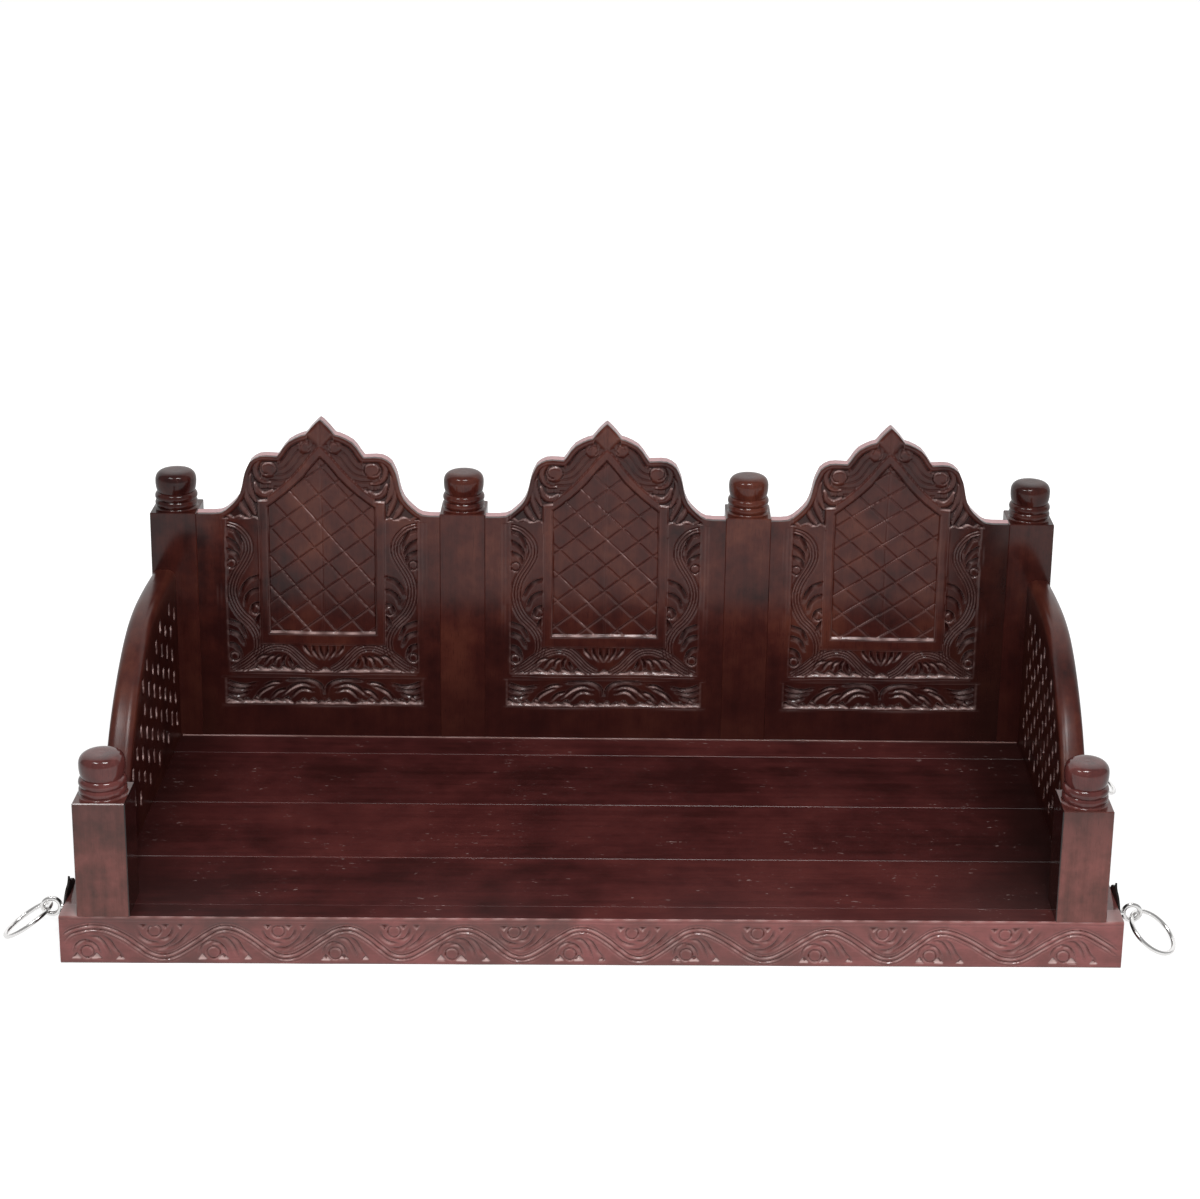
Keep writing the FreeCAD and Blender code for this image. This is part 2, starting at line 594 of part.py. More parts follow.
# Iron plates: forged leaf shapes screwed to the side rails round the bolts.
nuts, washers, screws = [], [], []
for name, at in EYES.items():
    side = at["side"]
    face = "swing_width / 2"
    plate = body("plate_" + name, mirrored(side, face, face + " + plate_thickness")[0], at["y"], at["z"])
    outline = sketch_in(plate, "plate_%s_outline" % name, "YZ_Plane")
    wide, rise, drop = size("plate_half_width"), size("plate_rise"), size("plate_drop")
    tip = scaled(PLATE_TIP_SHARES, wide, rise)
    edge = [Vector(a * wide, b * (rise if b > 0 else drop), 0) for a, b in PLATE_EDGE_SHARES]
    for points in (tip, edge):
        curve(outline, points)
        curve(outline, flipped(points))
    outline.addGeometry(Part.Circle(Vector(), Vector(0, 0, 1), size("shank_radius") + size("bolt_clearance")))
    for a in (-1, 1):
        for b in (-1, 1):
            centre = Vector(a * size("plate_screw_across"), b * size("plate_screw_up"), 0)
            outline.addGeometry(Part.Circle(centre, Vector(0, 0, 1), size("screw_radius") + size("screw_clearance")))
    pad = feature(plate, "Pad", "plate_%s_pad" % name, Length="plate_thickness")
    pad.Profile = outline
    node(plate, "plate_" + name)
    outward = Rotation(Vector(0, 1, 0), side * 90)
    for i, (a, b) in enumerate(SCREW_PLACES):
        y = "%s + %splate_screw_across" % (at["y"], a)
        z = "%s %splate_screw_up" % (at["z"], b)
        shank = rod("%s_screw_%d_shank" % (name, i), "x", (mirrored(
            side, face + " + plate_thickness - screw_length", face + " + plate_thickness")[0], y, z),
            "screw_radius", "screw_length")
        head = place(doc.addObject("Part::Ellipsoid", "%s_screw_%d_head" % (name, i)),
                     signed(side, face + " + plate_thickness"), y, z, outward)
        head.setExpression("Radius1", formula("screw_head_height"))
        head.setExpression("Radius2", formula("screw_head_radius"))
        head.setExpression("Radius3", formula("screw_head_radius"))
        head.Angle1 = 0
        screws.append(fuse("%s_screw_%d" % (name, i), [shank, head]))

    # Eye bolt: a ring eye, a collar against the plate, and a shank through
    # the rail to a washer and nut in the counterbore.
    centre = face + " + eye_standoff"
    eye = place(doc.addObject("Part::Torus", name + "_eye"), signed(side, centre), at["y"], at["z"], TURN["y"])
    eye.setExpression("Radius1", formula("eye_radius"))
    eye.setExpression("Radius2", formula("eye_wire_radius"))
    shank = rod(name + "_shank", "x", (mirrored(side, RAIL_IN + " + shank_tail", centre + " - eye_radius")[0],
                                       at["y"], at["z"]),
                "shank_radius", "rail_thickness - shank_tail + eye_standoff - eye_radius")
    collar = rod(name + "_collar", "x", (mirrored(side, face + " + plate_thickness",
                                                  face + " + plate_thickness + collar_length")[0],
                                         at["y"], at["z"]), "collar_radius", "collar_length")
    node(fuse(name + "_eye_bolt", [eye, shank, collar]), "eye_bolt_" + name)
    floor = RAIL_IN + " + counterbore_depth"
    washer = cut(name + "_washer",
                 rod(name + "_washer_blank", "x", (mirrored(side, floor + " - washer_thickness", floor)[0],
                                                   at["y"], at["z"]), "washer_radius", "washer_thickness"),
                 [rod(name + "_washer_bore", "x", (mirrored(side, floor + " - washer_thickness", floor)[0],
                                                   at["y"], at["z"]),
                      "shank_radius + bolt_clearance", "washer_thickness")])
    washers.append(washer)
    outer = floor + " - washer_thickness"
    prism = place(doc.addObject("Part::Prism", name + "_nut_blank"),
                  mirrored(side, outer + " - nut_height", outer)[0], at["y"], at["z"], TURN["x"])
    prism.Polygon = 6
    prism.setExpression("Circumradius", formula("nut_radius"))
    prism.setExpression("Height", formula("nut_height"))
    nuts.append(cut(name + "_nut", prism,
                    [rod(name + "_nut_bore", "x", (mirrored(side, outer + " - nut_height", outer)[0],
                                                   at["y"], at["z"]), "shank_radius", "nut_height")]))
node(compound("nut_set", nuts), "eye_nuts")
node(compound("washer_set", washers), "eye_washers")
node(compound("screw_set", screws), "plate_screws")

# Rings: each hangs in its eye and lies with its far side on the floor.
for name, ring in RINGS.items():
    side, row = ring["side"], name.split("_")[0]
    eye = Vector(side * (size("swing_width") / 2 + size("eye_standoff")),
                 size("front_eye_setback") - size("swing_depth") / 2 if row == "front"
                 else size("swing_depth") / 2 - size("back_eye_setback"), size(row + "_eye_height"))
    slack = ring["slack_share"] * size("eye_radius")
    reach = slack + size("ring_radius")
    drop = math.asin((eye.z - size("ring_wire_radius")) / (reach + size("ring_radius")))
    yaw = math.radians(ring["yaw"])
    out = Vector(side * math.cos(yaw) * math.cos(drop), math.sin(yaw) * math.cos(drop), -math.sin(drop))
    hinge = Vector(-side * math.sin(yaw), math.cos(yaw), 0)
    item = doc.addObject("Part::Torus", "ring_" + name)
    item.setExpression("Radius1", formula("ring_radius"))
    item.setExpression("Radius2", formula("ring_wire_radius"))
    item.Placement = Placement(eye + out * reach, Rotation(Vector(0, 0, 1), hinge.cross(out)))
    node(item, "ring_" + name)

doc.recompute()
for item in doc.Objects:
    if "Invalid" in item.State or "Error" in item.State:
        raise RuntimeError("%s failed: %s" % (item.Label, item.State))
os.makedirs("parts", exist_ok=True)
for item in NODES:
    if item.Shape.isNull() or not item.Shape.isValid() or not item.Shape.Solids:
        raise RuntimeError(item.Label + " has no valid solid")
    item.Shape.exportStep("parts/%s.step" % item.Label)
    print("%-20s %2d solid(s) %12.1f mm3" % (item.Label, len(item.Shape.Solids), item.Shape.Volume))
print(len(NODES), "nodes")
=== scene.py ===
import bpy
import math
import numpy as np
from mathutils import Matrix, Vector


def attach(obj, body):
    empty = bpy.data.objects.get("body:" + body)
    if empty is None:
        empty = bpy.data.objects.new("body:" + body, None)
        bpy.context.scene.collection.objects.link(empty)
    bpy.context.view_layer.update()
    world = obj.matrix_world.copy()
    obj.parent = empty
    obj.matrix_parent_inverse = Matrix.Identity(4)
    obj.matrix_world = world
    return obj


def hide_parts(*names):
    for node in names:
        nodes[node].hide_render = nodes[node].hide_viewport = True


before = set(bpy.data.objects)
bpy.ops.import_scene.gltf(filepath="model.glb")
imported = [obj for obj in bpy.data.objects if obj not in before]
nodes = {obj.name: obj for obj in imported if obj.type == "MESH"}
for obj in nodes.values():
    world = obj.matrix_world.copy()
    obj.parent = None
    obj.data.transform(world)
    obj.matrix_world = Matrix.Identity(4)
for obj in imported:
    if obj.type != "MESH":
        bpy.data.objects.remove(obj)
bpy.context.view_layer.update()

# The view: a long lens at eye height, in front of the seat and a little to
# the right of its middle. The frame is cropped low, so the lens is shifted.
IMAGE = (1200, 1199)
SENSOR = 36
LENS_PIXELS = 2495.175
LENS_CENTRE = (748.912, 390.654)
CAMERA_AT = Vector((0.032383, -3.576766, 1.798678))
CAMERA_TURN = (-16.1059, -1.72365, -2.8888)
camera = bpy.data.objects.new("camera", bpy.data.cameras.new("camera"))
bpy.context.scene.collection.objects.link(camera)
camera.data.sensor_width = SENSOR
camera.data.lens = SENSOR * LENS_PIXELS / IMAGE[0]
camera.data.shift_x = (IMAGE[0] / 2 - LENS_CENTRE[0]) / IMAGE[0]
camera.data.shift_y = (LENS_CENTRE[1] - IMAGE[1] / 2) / IMAGE[0]
pitch, roll, yaw = (math.radians(a) for a in CAMERA_TURN)
camera.matrix_world = (
    Matrix.Translation(CAMERA_AT) @ Matrix.Rotation(yaw, 4, "Z") @ Matrix.Rotation(pitch, 4, "X")
    @ Matrix.Rotation(roll, 4, "Y") @ Matrix.Rotation(math.pi / 2, 4, "X"))
bpy.context.scene.camera = camera
bpy.context.scene.view_settings.view_transform = "Standard"


class Wire:
    """A shader socket: sums and products of wires add their Math nodes."""

    def __init__(self, tree, socket):
        self.tree, self.socket = tree, socket

    def math(self, operation, first, second=0.0):
        return add(self.tree, "Math", {"operation": operation}, {0: first, 1: second})

    def __add__(self, other):
        return self.math("ADD", self, other)

    def __sub__(self, other):
        return self.math("SUBTRACT", self, other)

    def __rsub__(self, other):
        return self.math("SUBTRACT", other, self)

    def __mul__(self, other):
        return self.math("MULTIPLY", self, other)

    def kept(self):
        """The same number, held between 0 and 1."""
        return add(self.tree, "Math", {"operation": "ADD", "use_clamp": True}, {0: self, 1: 0.0})

    def far(self):
        """The same number without its sign."""
        return self.math("ABSOLUTE", self)

    __radd__ = __add__


def add(tree, kind, settings, sockets, output=0):
    """One shader node: its settings first, then the values or wires of its sockets."""
    node = tree.nodes.new("ShaderNode" + kind)
    for name, value in settings.items():
        if name == "stops":
            ramp = node.color_ramp
            while len(ramp.elements) < len(value):
                ramp.elements.new(0.5)
            for stop, (place, colour) in zip(ramp.elements, value):
                stop.position, stop.color = place, (*colour, 1)
        else:
            setattr(node, name, value)
    for name, value in sockets.items():
        if isinstance(value, Wire):
            tree.links.new(value.socket, node.inputs[name])
        else:
            node.inputs[name].default_value = value
    return Wire(tree, node.outputs[output]) if node.outputs else node


def material(name):
    made = bpy.data.materials.new(name)
    made.use_nodes = True
    made.node_tree.nodes.clear()
    return made, made.node_tree


def surface(tree, shader):
    add(tree, "OutputMaterial", {}, {"Surface": shader})


def object_place(tree):
    """Where a spot lies in the object's own coordinates, which are the swing's."""
    return add(tree, "TexCoord", {}, {}, 3)


def rays(tree, kind):
    """One for rays of this kind, nothing for the others."""
    path = add(tree, "LightPath", {}, {})
    return Wire(tree, path.socket.node.outputs["Is %s Ray" % kind])


# The studio: a white paper sweep with a white wall behind, a broad soft lamp
# beside the camera and two smaller ones high in front, whose glints show on
# the varnish. A fourth lights the back from the wall. In front of the swing the
# room is dark. It isn't part of the swing.
for name, at, target, wide, tall, power, glints in (
        ("front_lamp", (0.5, -3.35, 1.9), (0, 0, 0.25), 1.3, 1.3, 100, False),
        ("high_left_lamp", (-1.7, -1.6, 3.2), (-0.2, 0, 0.2), 0.9, 0.5, 22, True),
        ("high_right_lamp", (0.3, -1.6, 3.2), (0.1, 0, 0.2), 1.1, 0.5, 36, True),
        ("back_lamp", (0, 2.5, 1.3), (0, 0, 0.3), 3.0, 1.2, 34, False)):
    lamp = bpy.data.objects.new(name, bpy.data.lights.new(name, "AREA"))
    bpy.context.scene.collection.objects.link(lamp)
    lamp.data.shape = "RECTANGLE"
    lamp.data.size, lamp.data.size_y, lamp.data.energy = wide, tall, power
    lamp.location = at
    lamp.rotation_euler = (Vector(target) - Vector(at)).to_track_quat("-Z", "Y").to_euler()
    lamp.visible_camera = False
    lamp.visible_glossy = glints

# how bright the room is to the lens, in the varnish, and as light on the wood
SEEN, MIRRORED, LIGHTING = 0.96, 0.26, 0.04
world = bpy.data.worlds.new("studio")
bpy.context.scene.world = world
world.use_nodes = True
sky = world.node_tree
sky.nodes.clear()
glow = add(sky, "Background", {}, {
    "Color": (1, 1, 1, 1), "Strength": rays(sky, "Camera") * SEEN + rays(sky, "Glossy") * MIRRORED + LIGHTING})
add(sky, "OutputWorld", {}, {"Surface": glow})

# next to the swing the paper glows less, which keeps the shadow
SHADE_FROM, SHADE_SLOPE, SHADE = 0.9, 1.4, 0.12
for name, place, turn, size, grey, glossy_glow in (
        ("paper_sweep", (0, 0, 0), 0, 40, 0.34, 0.62), ("paper_wall", (0, 2.6, 3.0), 90, 14, 0.1, 1.0)):
    bpy.ops.object.select_all(action="DESELECT")
    bpy.ops.mesh.primitive_plane_add(size=size, location=place, rotation=(math.radians(turn), 0, 0))
    sheet = bpy.context.object
    sheet.name = name
    bpy.ops.object.transform_apply(location=True, rotation=True, scale=True)
    paper, tree = material(name)
    lit = add(tree, "BsdfDiffuse", {}, {"Color": (grey, grey, grey, 1)})
    away = add(tree, "VectorMath", {"operation": "LENGTH"}, {0: object_place(tree)}, 1)
    near = ((away - SHADE_FROM) * SHADE_SLOPE).kept() * SHADE + (1 - SHADE)
    glow = add(tree, "Emission", {}, {
        "Color": (1, 1, 1, 1), "Strength": rays(tree, "Camera") * near + rays(tree, "Glossy") * glossy_glow})
    surface(tree, add(tree, "AddShader", {}, {0: lit, 1: glow}))
    sheet.data.materials.append(paper)
    sheet.visible_camera = name == "paper_sweep"


# The base: four rails of dark red hardwood round the seat. The front rail is
# carved along its whole face with a winding vine between two plain margins.
# Carvings are drawn in millimetres.
X_AXIS, Y_AXIS, Z_AXIS = 0, 1, 2
MILLIMETRES = 1000
SHADED_RED = (0.008, 0.0035, 0.003, 1)
SHADE_SHIFT = 0.04
TURNED_RED = (0.045, 0.006, 0.011, 1)
RIM_LIGHT_PINK = (0.62, 0.34, 0.35, 1)
WEAR_AND_GLINT_PINK = (0.5, 0.34, 0.32, 1)
NICK_GREY = (0.5, 0.38, 0.36, 1)


def mixed(tree, factor, first, second):
    """Two colours mixed: 0, 6 and 7 are the Mix node's colour sockets, 2 its colour output."""
    return add(tree, "Mix", {"data_type": "RGBA"}, {0: factor, 6: first, 7: second}, 2)


def noise(tree, place, scale, detail, roughness=0.5, distortion=0.0):
    return add(tree, "TexNoise", {}, {
        "Vector": place, "Scale": scale, "Detail": detail, "Roughness": roughness, "Distortion": distortion})


def placed(tree, place, axis):
    return add(tree, "SeparateXYZ", {}, {"Vector": place}, axis)


def eased(tree, value, low, high, start, end):
    """From start to end, as the value goes from low to high."""
    return add(tree, "MapRange", {"interpolation_type": "SMOOTHSTEP"}, {
        "Value": value, "From Min": low, "From Max": high, "To Min": start, "To Max": end})


def painted(tree, word):
    """A number that each vertex of the carving holds."""
    return add(tree, "Attribute", {"attribute_name": word}, {}, 2)


def timber(name, along, deep, plain, pale, shift=(0, 0, 0), carved=False, grain=1.0, mottled=0.3,
           low_shade=None, worn=False, rim=None, sides=None, turned=None, coat=(1.0, 0.12)):
    """Stained, varnished hardwood. The fibres run along one axis of the swing.

    low_shade: the heights between which it turns darker downwards, a painted shade low down near the seat.
    sides: the distances from the middle between which it turns darker, and how much.
    turned: the height where a post's square shaft ends and its turned top starts.
    rim: the depths between which an upper edge is painted pale, a painted highlight from the bright backdrop behind.
    carved: darker where the carving's vertices say so, a painted shade in the cuts and on faces that look down,
    and paler where they say so, a painted highlight on faces that look up and on edges, which are also worn. worn:
    small pale nicks.
    """
    made, tree = material(name)
    place = object_place(tree)
    squeeze = [1.0, 1.0, 1.0]
    squeeze[along] = 0.07
    fibres = add(tree, "Mapping", {}, {"Vector": place, "Location": shift, "Scale": squeeze})
    moved = add(tree, "Mapping", {}, {"Vector": place, "Location": shift})
    # broad bands, fine streaks and short pores along the fibres, large and small blotches across
    broad = noise(tree, fibres, 9.0, 3.0, 0.55, 0.8)
    streak = noise(tree, fibres, 75.0, 5.0, 0.66)
    pore = noise(tree, fibres, 900.0, 1.0)
    blotch = noise(tree, moved, 5.0, 4.0, 0.55)
    mottle = noise(tree, moved, 19.0, 5.0, 0.6)
    figure = ((broad - 0.5) * (0.45 * grain) + (streak - 0.5) * (0.4 * grain) + (blotch - 0.5) * 0.45
              + (mottle - 0.5) * mottled + 0.5)
    colour = add(tree, "ValToRGB", {"stops": [(0.38, deep), (0.5, plain), (0.62, pale)]}, {"Fac": figure})
    dashes = ((pore - 0.6) * 7.0).kept()
    colour = mixed(tree, dashes * 0.5, colour, (*deep, 1))
    height = streak * 0.35 - dashes * 0.4
    rough = 0.42 + blotch * 0.16 + dashes * 0.1
    if low_shade:
        # painted shade: darker towards the bottom, near the seat
        low = eased(tree, placed(tree, place, Z_AXIS) + (blotch - 0.5) * 0.25, *low_shade, 1.0, 0.0)
        colour = mixed(tree, low * 0.75, colour, (*deep, 1))
    if sides:
        # the light comes from the left, so the right end lies deeper in the shade
        out = (placed(tree, place, X_AXIS) + SHADE_SHIFT).far()
        dusk = eased(tree, out + (blotch - 0.5) * 0.22, sides[0], sides[1], 0.0, sides[2])
        colour = mixed(tree, dusk, colour, SHADED_RED)
    if turned:
        # the shaft's inner face is painted dark, a painted shade where little light reaches it, and the shaft is darker
        # to its top; the turned top is redder
        shaft_inside = 0.664
        rise = placed(tree, place, Z_AXIS)
        square = ((turned - rise) * 200.0).kept()
        dusk = ((shaft_inside - placed(tree, place, X_AXIS).far()) * 900.0).kept() * square * 0.85
        high = ((rise + blotch * 0.08 - turned + 0.05) * 12.0).kept() * square * 0.45
        colour = mixed(tree, dusk + high, colour, SHADED_RED)
        colour = mixed(tree, (1 - square) * 0.45, colour, TURNED_RED)
    if rim:
        # the upper edge is painted pale: a painted highlight
        deep_in = placed(tree, place, Y_AXIS)
        rim_lit = ((deep_in - rim[0]) * 800.0).kept() * ((rim[1] - deep_in) * 2000.0).kept()
        colour = mixed(tree, rim_lit, colour, RIM_LIGHT_PINK)
    if carved:
        # painted shade in the cuts, and a painted highlight, with some wear, where the vertices are pale
        hollow_red = (deep[0] * 0.65, deep[1] * 0.5, deep[2] * 0.5, 1)
        colour = mixed(tree, painted(tree, "hollow") * 0.8, colour, hollow_red)
        colour = mixed(tree, painted(tree, "crest") * 0.9, colour, WEAR_AND_GLINT_PINK)
    if worn:
        nicks = add(tree, "Mapping", {}, {
            "Vector": place, "Location": shift, "Rotation": (0, 0, 0.5), "Scale": (0.3, 1, 1)})
        nicks = ((noise(tree, nicks, 290.0, 1.0) - 0.7) * 20.0).kept() * ((mottle - 0.52) * 9.0).kept()
        colour = mixed(tree, nicks * 0.5, colour, NICK_GREY)
        rough = rough + nicks * 0.3
    normal = add(tree, "Bump", {}, {"Height": height, "Strength": 0.15, "Distance": 0.0005})
    surface(tree, add(tree, "BsdfPrincipled", {}, {
        "Base Color": colour, "Roughness": rough, "Normal": normal, "Specular IOR Level": 0.0,
        "Coat Weight": coat[0], "Coat Roughness": coat[1]}))
    return made


def dress(name, finish):
    """Gives a CAD node its finish."""
    mesh = nodes[name].data
    mesh.materials.clear()
    mesh.materials.append(finish)


def ramp(value, low, high):
    share = np.clip((value - low) / (high - low), 0, 1)
    return share * share * (3 - 2 * share)


def bend(points, steps=7):
    """A smooth path through the points."""
    knots = [np.array(point, float) for point in points]
    knots = [2 * knots[0] - knots[1]] + knots + [2 * knots[-1] - knots[-2]]
    path = []
    for a, b, c, d in zip(knots, knots[1:], knots[2:], knots[3:]):
        for t in np.arange(steps) / steps:
            curve = 2 * a - 5 * b + 4 * c - d + t * (3 * b - a - 3 * c + d)
            path.append(b + 0.5 * t * (c - a + t * curve))
    return np.array(path + [knots[-2]])


def reach(x, z, path, limit):
    """The spots near a path, how far off they are and how far along it."""
    low, high = path.min(0) - limit, path.max(0) + limit
    spots = np.flatnonzero((x > low[0]) & (x < high[0]) & (z > low[1]) & (z < high[1]))
    px, pz = x[spots], z[spots]
    off, along = np.full(len(spots), 1e9), np.zeros(len(spots))
    lengths = np.hypot(*np.diff(path, axis=0).T)
    done = 0.0
    for (ax, az), (bx, bz), length in zip(path, path[1:], lengths):
        t = np.clip(((px - ax) * (bx - ax) + (pz - az) * (bz - az)) / length ** 2, 0, 1)
        gap = np.hypot(px - ax - t * (bx - ax), pz - az - t * (bz - az))
        nearer = gap < off
        off[nearer], along[nearer] = gap[nearer], (done + t[nearer] * length) / lengths.sum()
        done += length
    return spots, off, along


def bump(distance, half):
    """One at nothing, falling straight to nothing at half."""
    return np.clip(1 - np.abs(distance) / half, 0, 1)


def edge_wear(field):
    """How much each spot stands out from those round it: its edges are paled as wear and as a painted highlight."""
    padded = np.pad(field, 1, mode="edge")
    rows, columns = field.shape
    around = sum(padded[a:a + rows, b:b + columns] for a in (0, 1, 2) for b in (0, 1, 2)) / 9
    return np.clip((field - around) / 0.8, 0, 1)


def grid(name, columns, rows):
    """A flat sheet, with the column and the row that each of its vertices is in."""
    bpy.ops.object.select_all(action="DESELECT")
    bpy.ops.mesh.primitive_grid_add(x_subdivisions=columns - 1, y_subdivisions=rows - 1, size=2)
    sheet = bpy.context.object
    sheet.name = sheet.data.name = name
    spots = np.empty(len(sheet.data.vertices) * 3)
    sheet.data.vertices.foreach_get("co", spots)
    across, up = (spots.reshape(-1, 3)[:, :2].T + 1) / 2
    return sheet, np.rint(across * (columns - 1)).astype(int), np.rint(up * (rows - 1)).astype(int)


def shape(mesh, x, y, z, hollow, crest):
    """Puts each vertex in its place and paints it."""
    mesh.vertices.foreach_set("co", (np.stack([x, y, z], 1) / MILLIMETRES).ravel())
    for word, values in (("hollow", hollow), ("crest", crest)):
        mesh.attributes.new(word, "FLOAT", "POINT").data.foreach_set("value", values)
    mesh.update()


def carved_slab(name, across, up, front, back, height_at, middle=0, glint_from=0.5):
    """A closed slab whose front is a fine grid. across gives the columns, up
    gives the height of each row at each column and height_at the carving."""
    slab, i, j = grid(name, len(across), len(up))
    x, z = across[i], up[j, i]
    cut, hollow = height_at(x, z)
    field = np.zeros(up.shape)
    field[j, i] = cut
    # faces that look up are painted pale, a painted highlight, and faces that look down and deep cuts are painted dark,
    # a painted shade
    slope = (-np.gradient(field, axis=0) / np.gradient(up, axis=0))[j, i]
    ledge = np.clip((slope - glint_from) / 0.8, 0, 1) * (0.65 + 0.35 * np.sin(x / 5 + 2 * np.sin(z / 7)))
    ledge *= np.where(hollow > 0.4, 0.75, 1)
    under = np.clip((-slope - 0.4) / 1.2, 0, 1)
    dark = np.clip(np.maximum(hollow, 0) * (1 - ledge) + 0.75 * under, 0, 1)
    shape(slab.data, x + middle, front - cut, z, dark,
          np.max([0.15 * edge_wear(field)[j, i], 0.85 * ledge, -hollow], 0))
    bpy.ops.object.mode_set(mode="EDIT")
    bpy.ops.mesh.select_all(action="DESELECT")
    bpy.ops.mesh.select_mode(type="EDGE")
    bpy.ops.mesh.select_non_manifold()
    bpy.ops.mesh.extrude_edges_move(TRANSFORM_OT_translate={"value": (0, 0.004, 0)})
    bpy.ops.transform.resize(value=(1, 0, 1), center_override=(0, back / MILLIMETRES, 0))
    bpy.ops.mesh.edge_face_add()
    bpy.ops.mesh.select_all(action="SELECT")
    bpy.ops.mesh.normals_make_consistent(inside=False)
    bpy.ops.object.mode_set(mode="OBJECT")
    bpy.ops.object.shade_smooth_by_angle(angle=math.radians(75))
    # the plain back, ends and top stay flat
    for face in slab.data.polygons:
        if face.area > 1e-5:
            face.use_smooth = False
    return slab


SEAT_SHADES = ((0.036, 0.0078, 0.0074), (0.070, 0.015, 0.0145), (0.105, 0.024, 0.022))
RAIL_SHADES = ((0.115, 0.043, 0.039), (0.18, 0.056, 0.051), (0.26, 0.08, 0.076))
BACK_SHADES = ((0.022, 0.005, 0.0045), (0.064, 0.0135, 0.0095), (0.106, 0.028, 0.017))
rail_wood = timber("red_rail_wood", X_AXIS, *RAIL_SHADES, carved=True, grain=0.6, mottled=0.45)
side_wood = timber("red_side_wood", Y_AXIS, *RAIL_SHADES, shift=(0.3, 0.7, 0.1))
plain_rail = timber("plain_rail_wood", X_AXIS, *BACK_SHADES, shift=(0.2, 0.4, 0.3), coat=(0.5, 0.3))

RAIL_HALF, RAIL_TOP, RAIL_FRONT, RAIL_BACK = 762, 74, -350, -312
RAIL_CHAMFER, RAIL_END = 1.8, 757
# the vine's knots: bends along the upper and lower margin, and a knot between each two
VINE_HIGH, VINE_LOW = 56, 11
VINE = [(-762, 30), (-744, 47), (-707, 56), (-665, 38), (-619, 11), (-572, 33), (-529, 56), (-487, 36),
        (-444, 11), (-400, 33), (-357, 56), (-318, 36), (-280, 11), (-235, 33), (-190, 56), (-150, 36),
        (-110, 11), (-66, 33), (-22, 56), (20, 36), (61, 11), (103, 33), (145, 56), (192, 36), (240, 11),
        (286, 33), (332, 56), (376, 36), (420, 11), (459, 33), (498, 56), (549, 36), (600, 11), (646, 33),
        (692, 56), (730, 40), (762, 22)]
# its bends are a little rounder than the knots make them
vine_middle, vine_swing = (VINE_HIGH + VINE_LOW) / 2, (VINE_HIGH - VINE_LOW) / 2
vine = bend(VINE, 3)
sway = (vine[:, 1] - vine_middle) / vine_swing
vine[:, 1] = vine_middle + vine_swing * (0.65 * sway + 0.35 * np.sin(np.clip(sway, -1, 1) * math.pi / 2))

# Each bend holds a bud in a scored ring, three chips along the margin and four leaves, placed
# from the middle of the bend. A chip has its place, half width, height and depth, a leaf its
# path and width.
BENDS = (
    {"at": VINE_HIGH, "beat": 2.3, "phase": 0, "bud": (-16, 17.5), "ring": 9.2, "ring_to": 1e9, "margin": 7.0,
     "chips": ((-31, 7.5, 9.5, 6.5), (-3, 8.5, 9.5, 6.5), (30, 6.5, 7.0, 5.0)), "painted_glint": True,
     "leaf_depth": 3.6,
     "leaves": (([(-8, 34), (-20, 36), (-31, 29), (-36, 16)], 3.0), ([(3, 14), (-1, 25), (-9, 33), (-20, 33)], 3.3),
                ([(18, 12), (12, 27), (2, 40), (-12, 43)], 3.9), ([(34, 12), (25, 22), (17, 36), (6, 45)], 3.9))},
    {"at": VINE_LOW, "beat": 1.7, "phase": 1, "bud": (-9, 52), "ring": 9.0, "ring_to": 60.5, "margin": 62.5,
     "chips": ((-24, 7.0, -7.5, 5.0), (5, 6.5, -7.5, 5.0), (25, 5.5, -7.5, 5.0)), "painted_glint": False,
     "leaf_depth": 3.8,
     "leaves": (([(-3, 34), (-16, 36), (-26, 43), (-30, 53)], 4.25), ([(14, 57), (12, 48), (6, 41), (-4, 40)], 4.25),
                ([(23, 50), (16, 37), (2, 27), (-14, 27)], 5.525), ([(40, 56), (33, 45), (22, 33), (8, 25)], 4.675))})


def gouge(cut, x, z, points, width, depth):
    """A leaf cut with one slanting stroke: deepest along its path, rising to the left of it."""
    path = bend(points)
    spots, off, along = reach(x, z, path, width + 1)
    ahead = np.diff(path, axis=0)
    step = np.clip((along * len(ahead)).astype(int), 0, len(ahead) - 1)
    side = ahead[step, 0] * (z[spots] - path[step, 1]) - ahead[step, 1] * (x[spots] - path[step, 0])
    full = depth * np.sin(math.pi * np.clip(along, 0.02, 0.98)) ** 0.6
    slant = np.clip(np.where(side > 0, 1 - off / width, 1 - off / 1.4), 0, 1)
    cut[spots] = np.minimum(cut[spots], -full * slant)


def score(cut, x, z, points, offsets, depth, half=1.7):
    """Lines cut side by side along a path, fading at its ends."""
    spots, off, along = reach(x, z, bend(points), max(offsets) + half)
    fade = np.clip((1 - 2 * np.abs(along - 0.5)) * 30, 0, 1)
    for at in offsets:
        cut[spots] = np.minimum(cut[spots], -depth * bump(off - at, half) * fade)


def chip(cut, x, z, foot, half, tall, depth, pale=None):
    """A three-sided chip, deepest at its peak. Its floor rises to the margin at its foot."""
    share = (z - foot[1]) / tall
    room = np.clip(((1 - share) * half - np.abs(x - foot[0])) / 1.5, 0, 1)
    inside = np.where((share > 0) & (share < 1), room * (0.25 + 0.75 * share), 0)
    np.minimum(cut, -depth * inside, out=cut)
    # the lower part of the floor, which faces up, is painted pale: a painted highlight
    if pale is not None:
        painted_glint = (share > 0.05) & (share < 0.45 + 0.3 * np.sin(x / 2.1))
        np.maximum(pale, np.where(painted_glint, room, 0), out=pale)


def ring_cut(cut, x, z, centre, radius, depth, ring_to=1e9):
    """A line cut in a circle round a button."""
    line = bump(np.hypot(x - centre[0], z - centre[1]) - radius, 1.9)
    np.minimum(cut, np.where(z < ring_to, -depth * line, 0), out=cut)


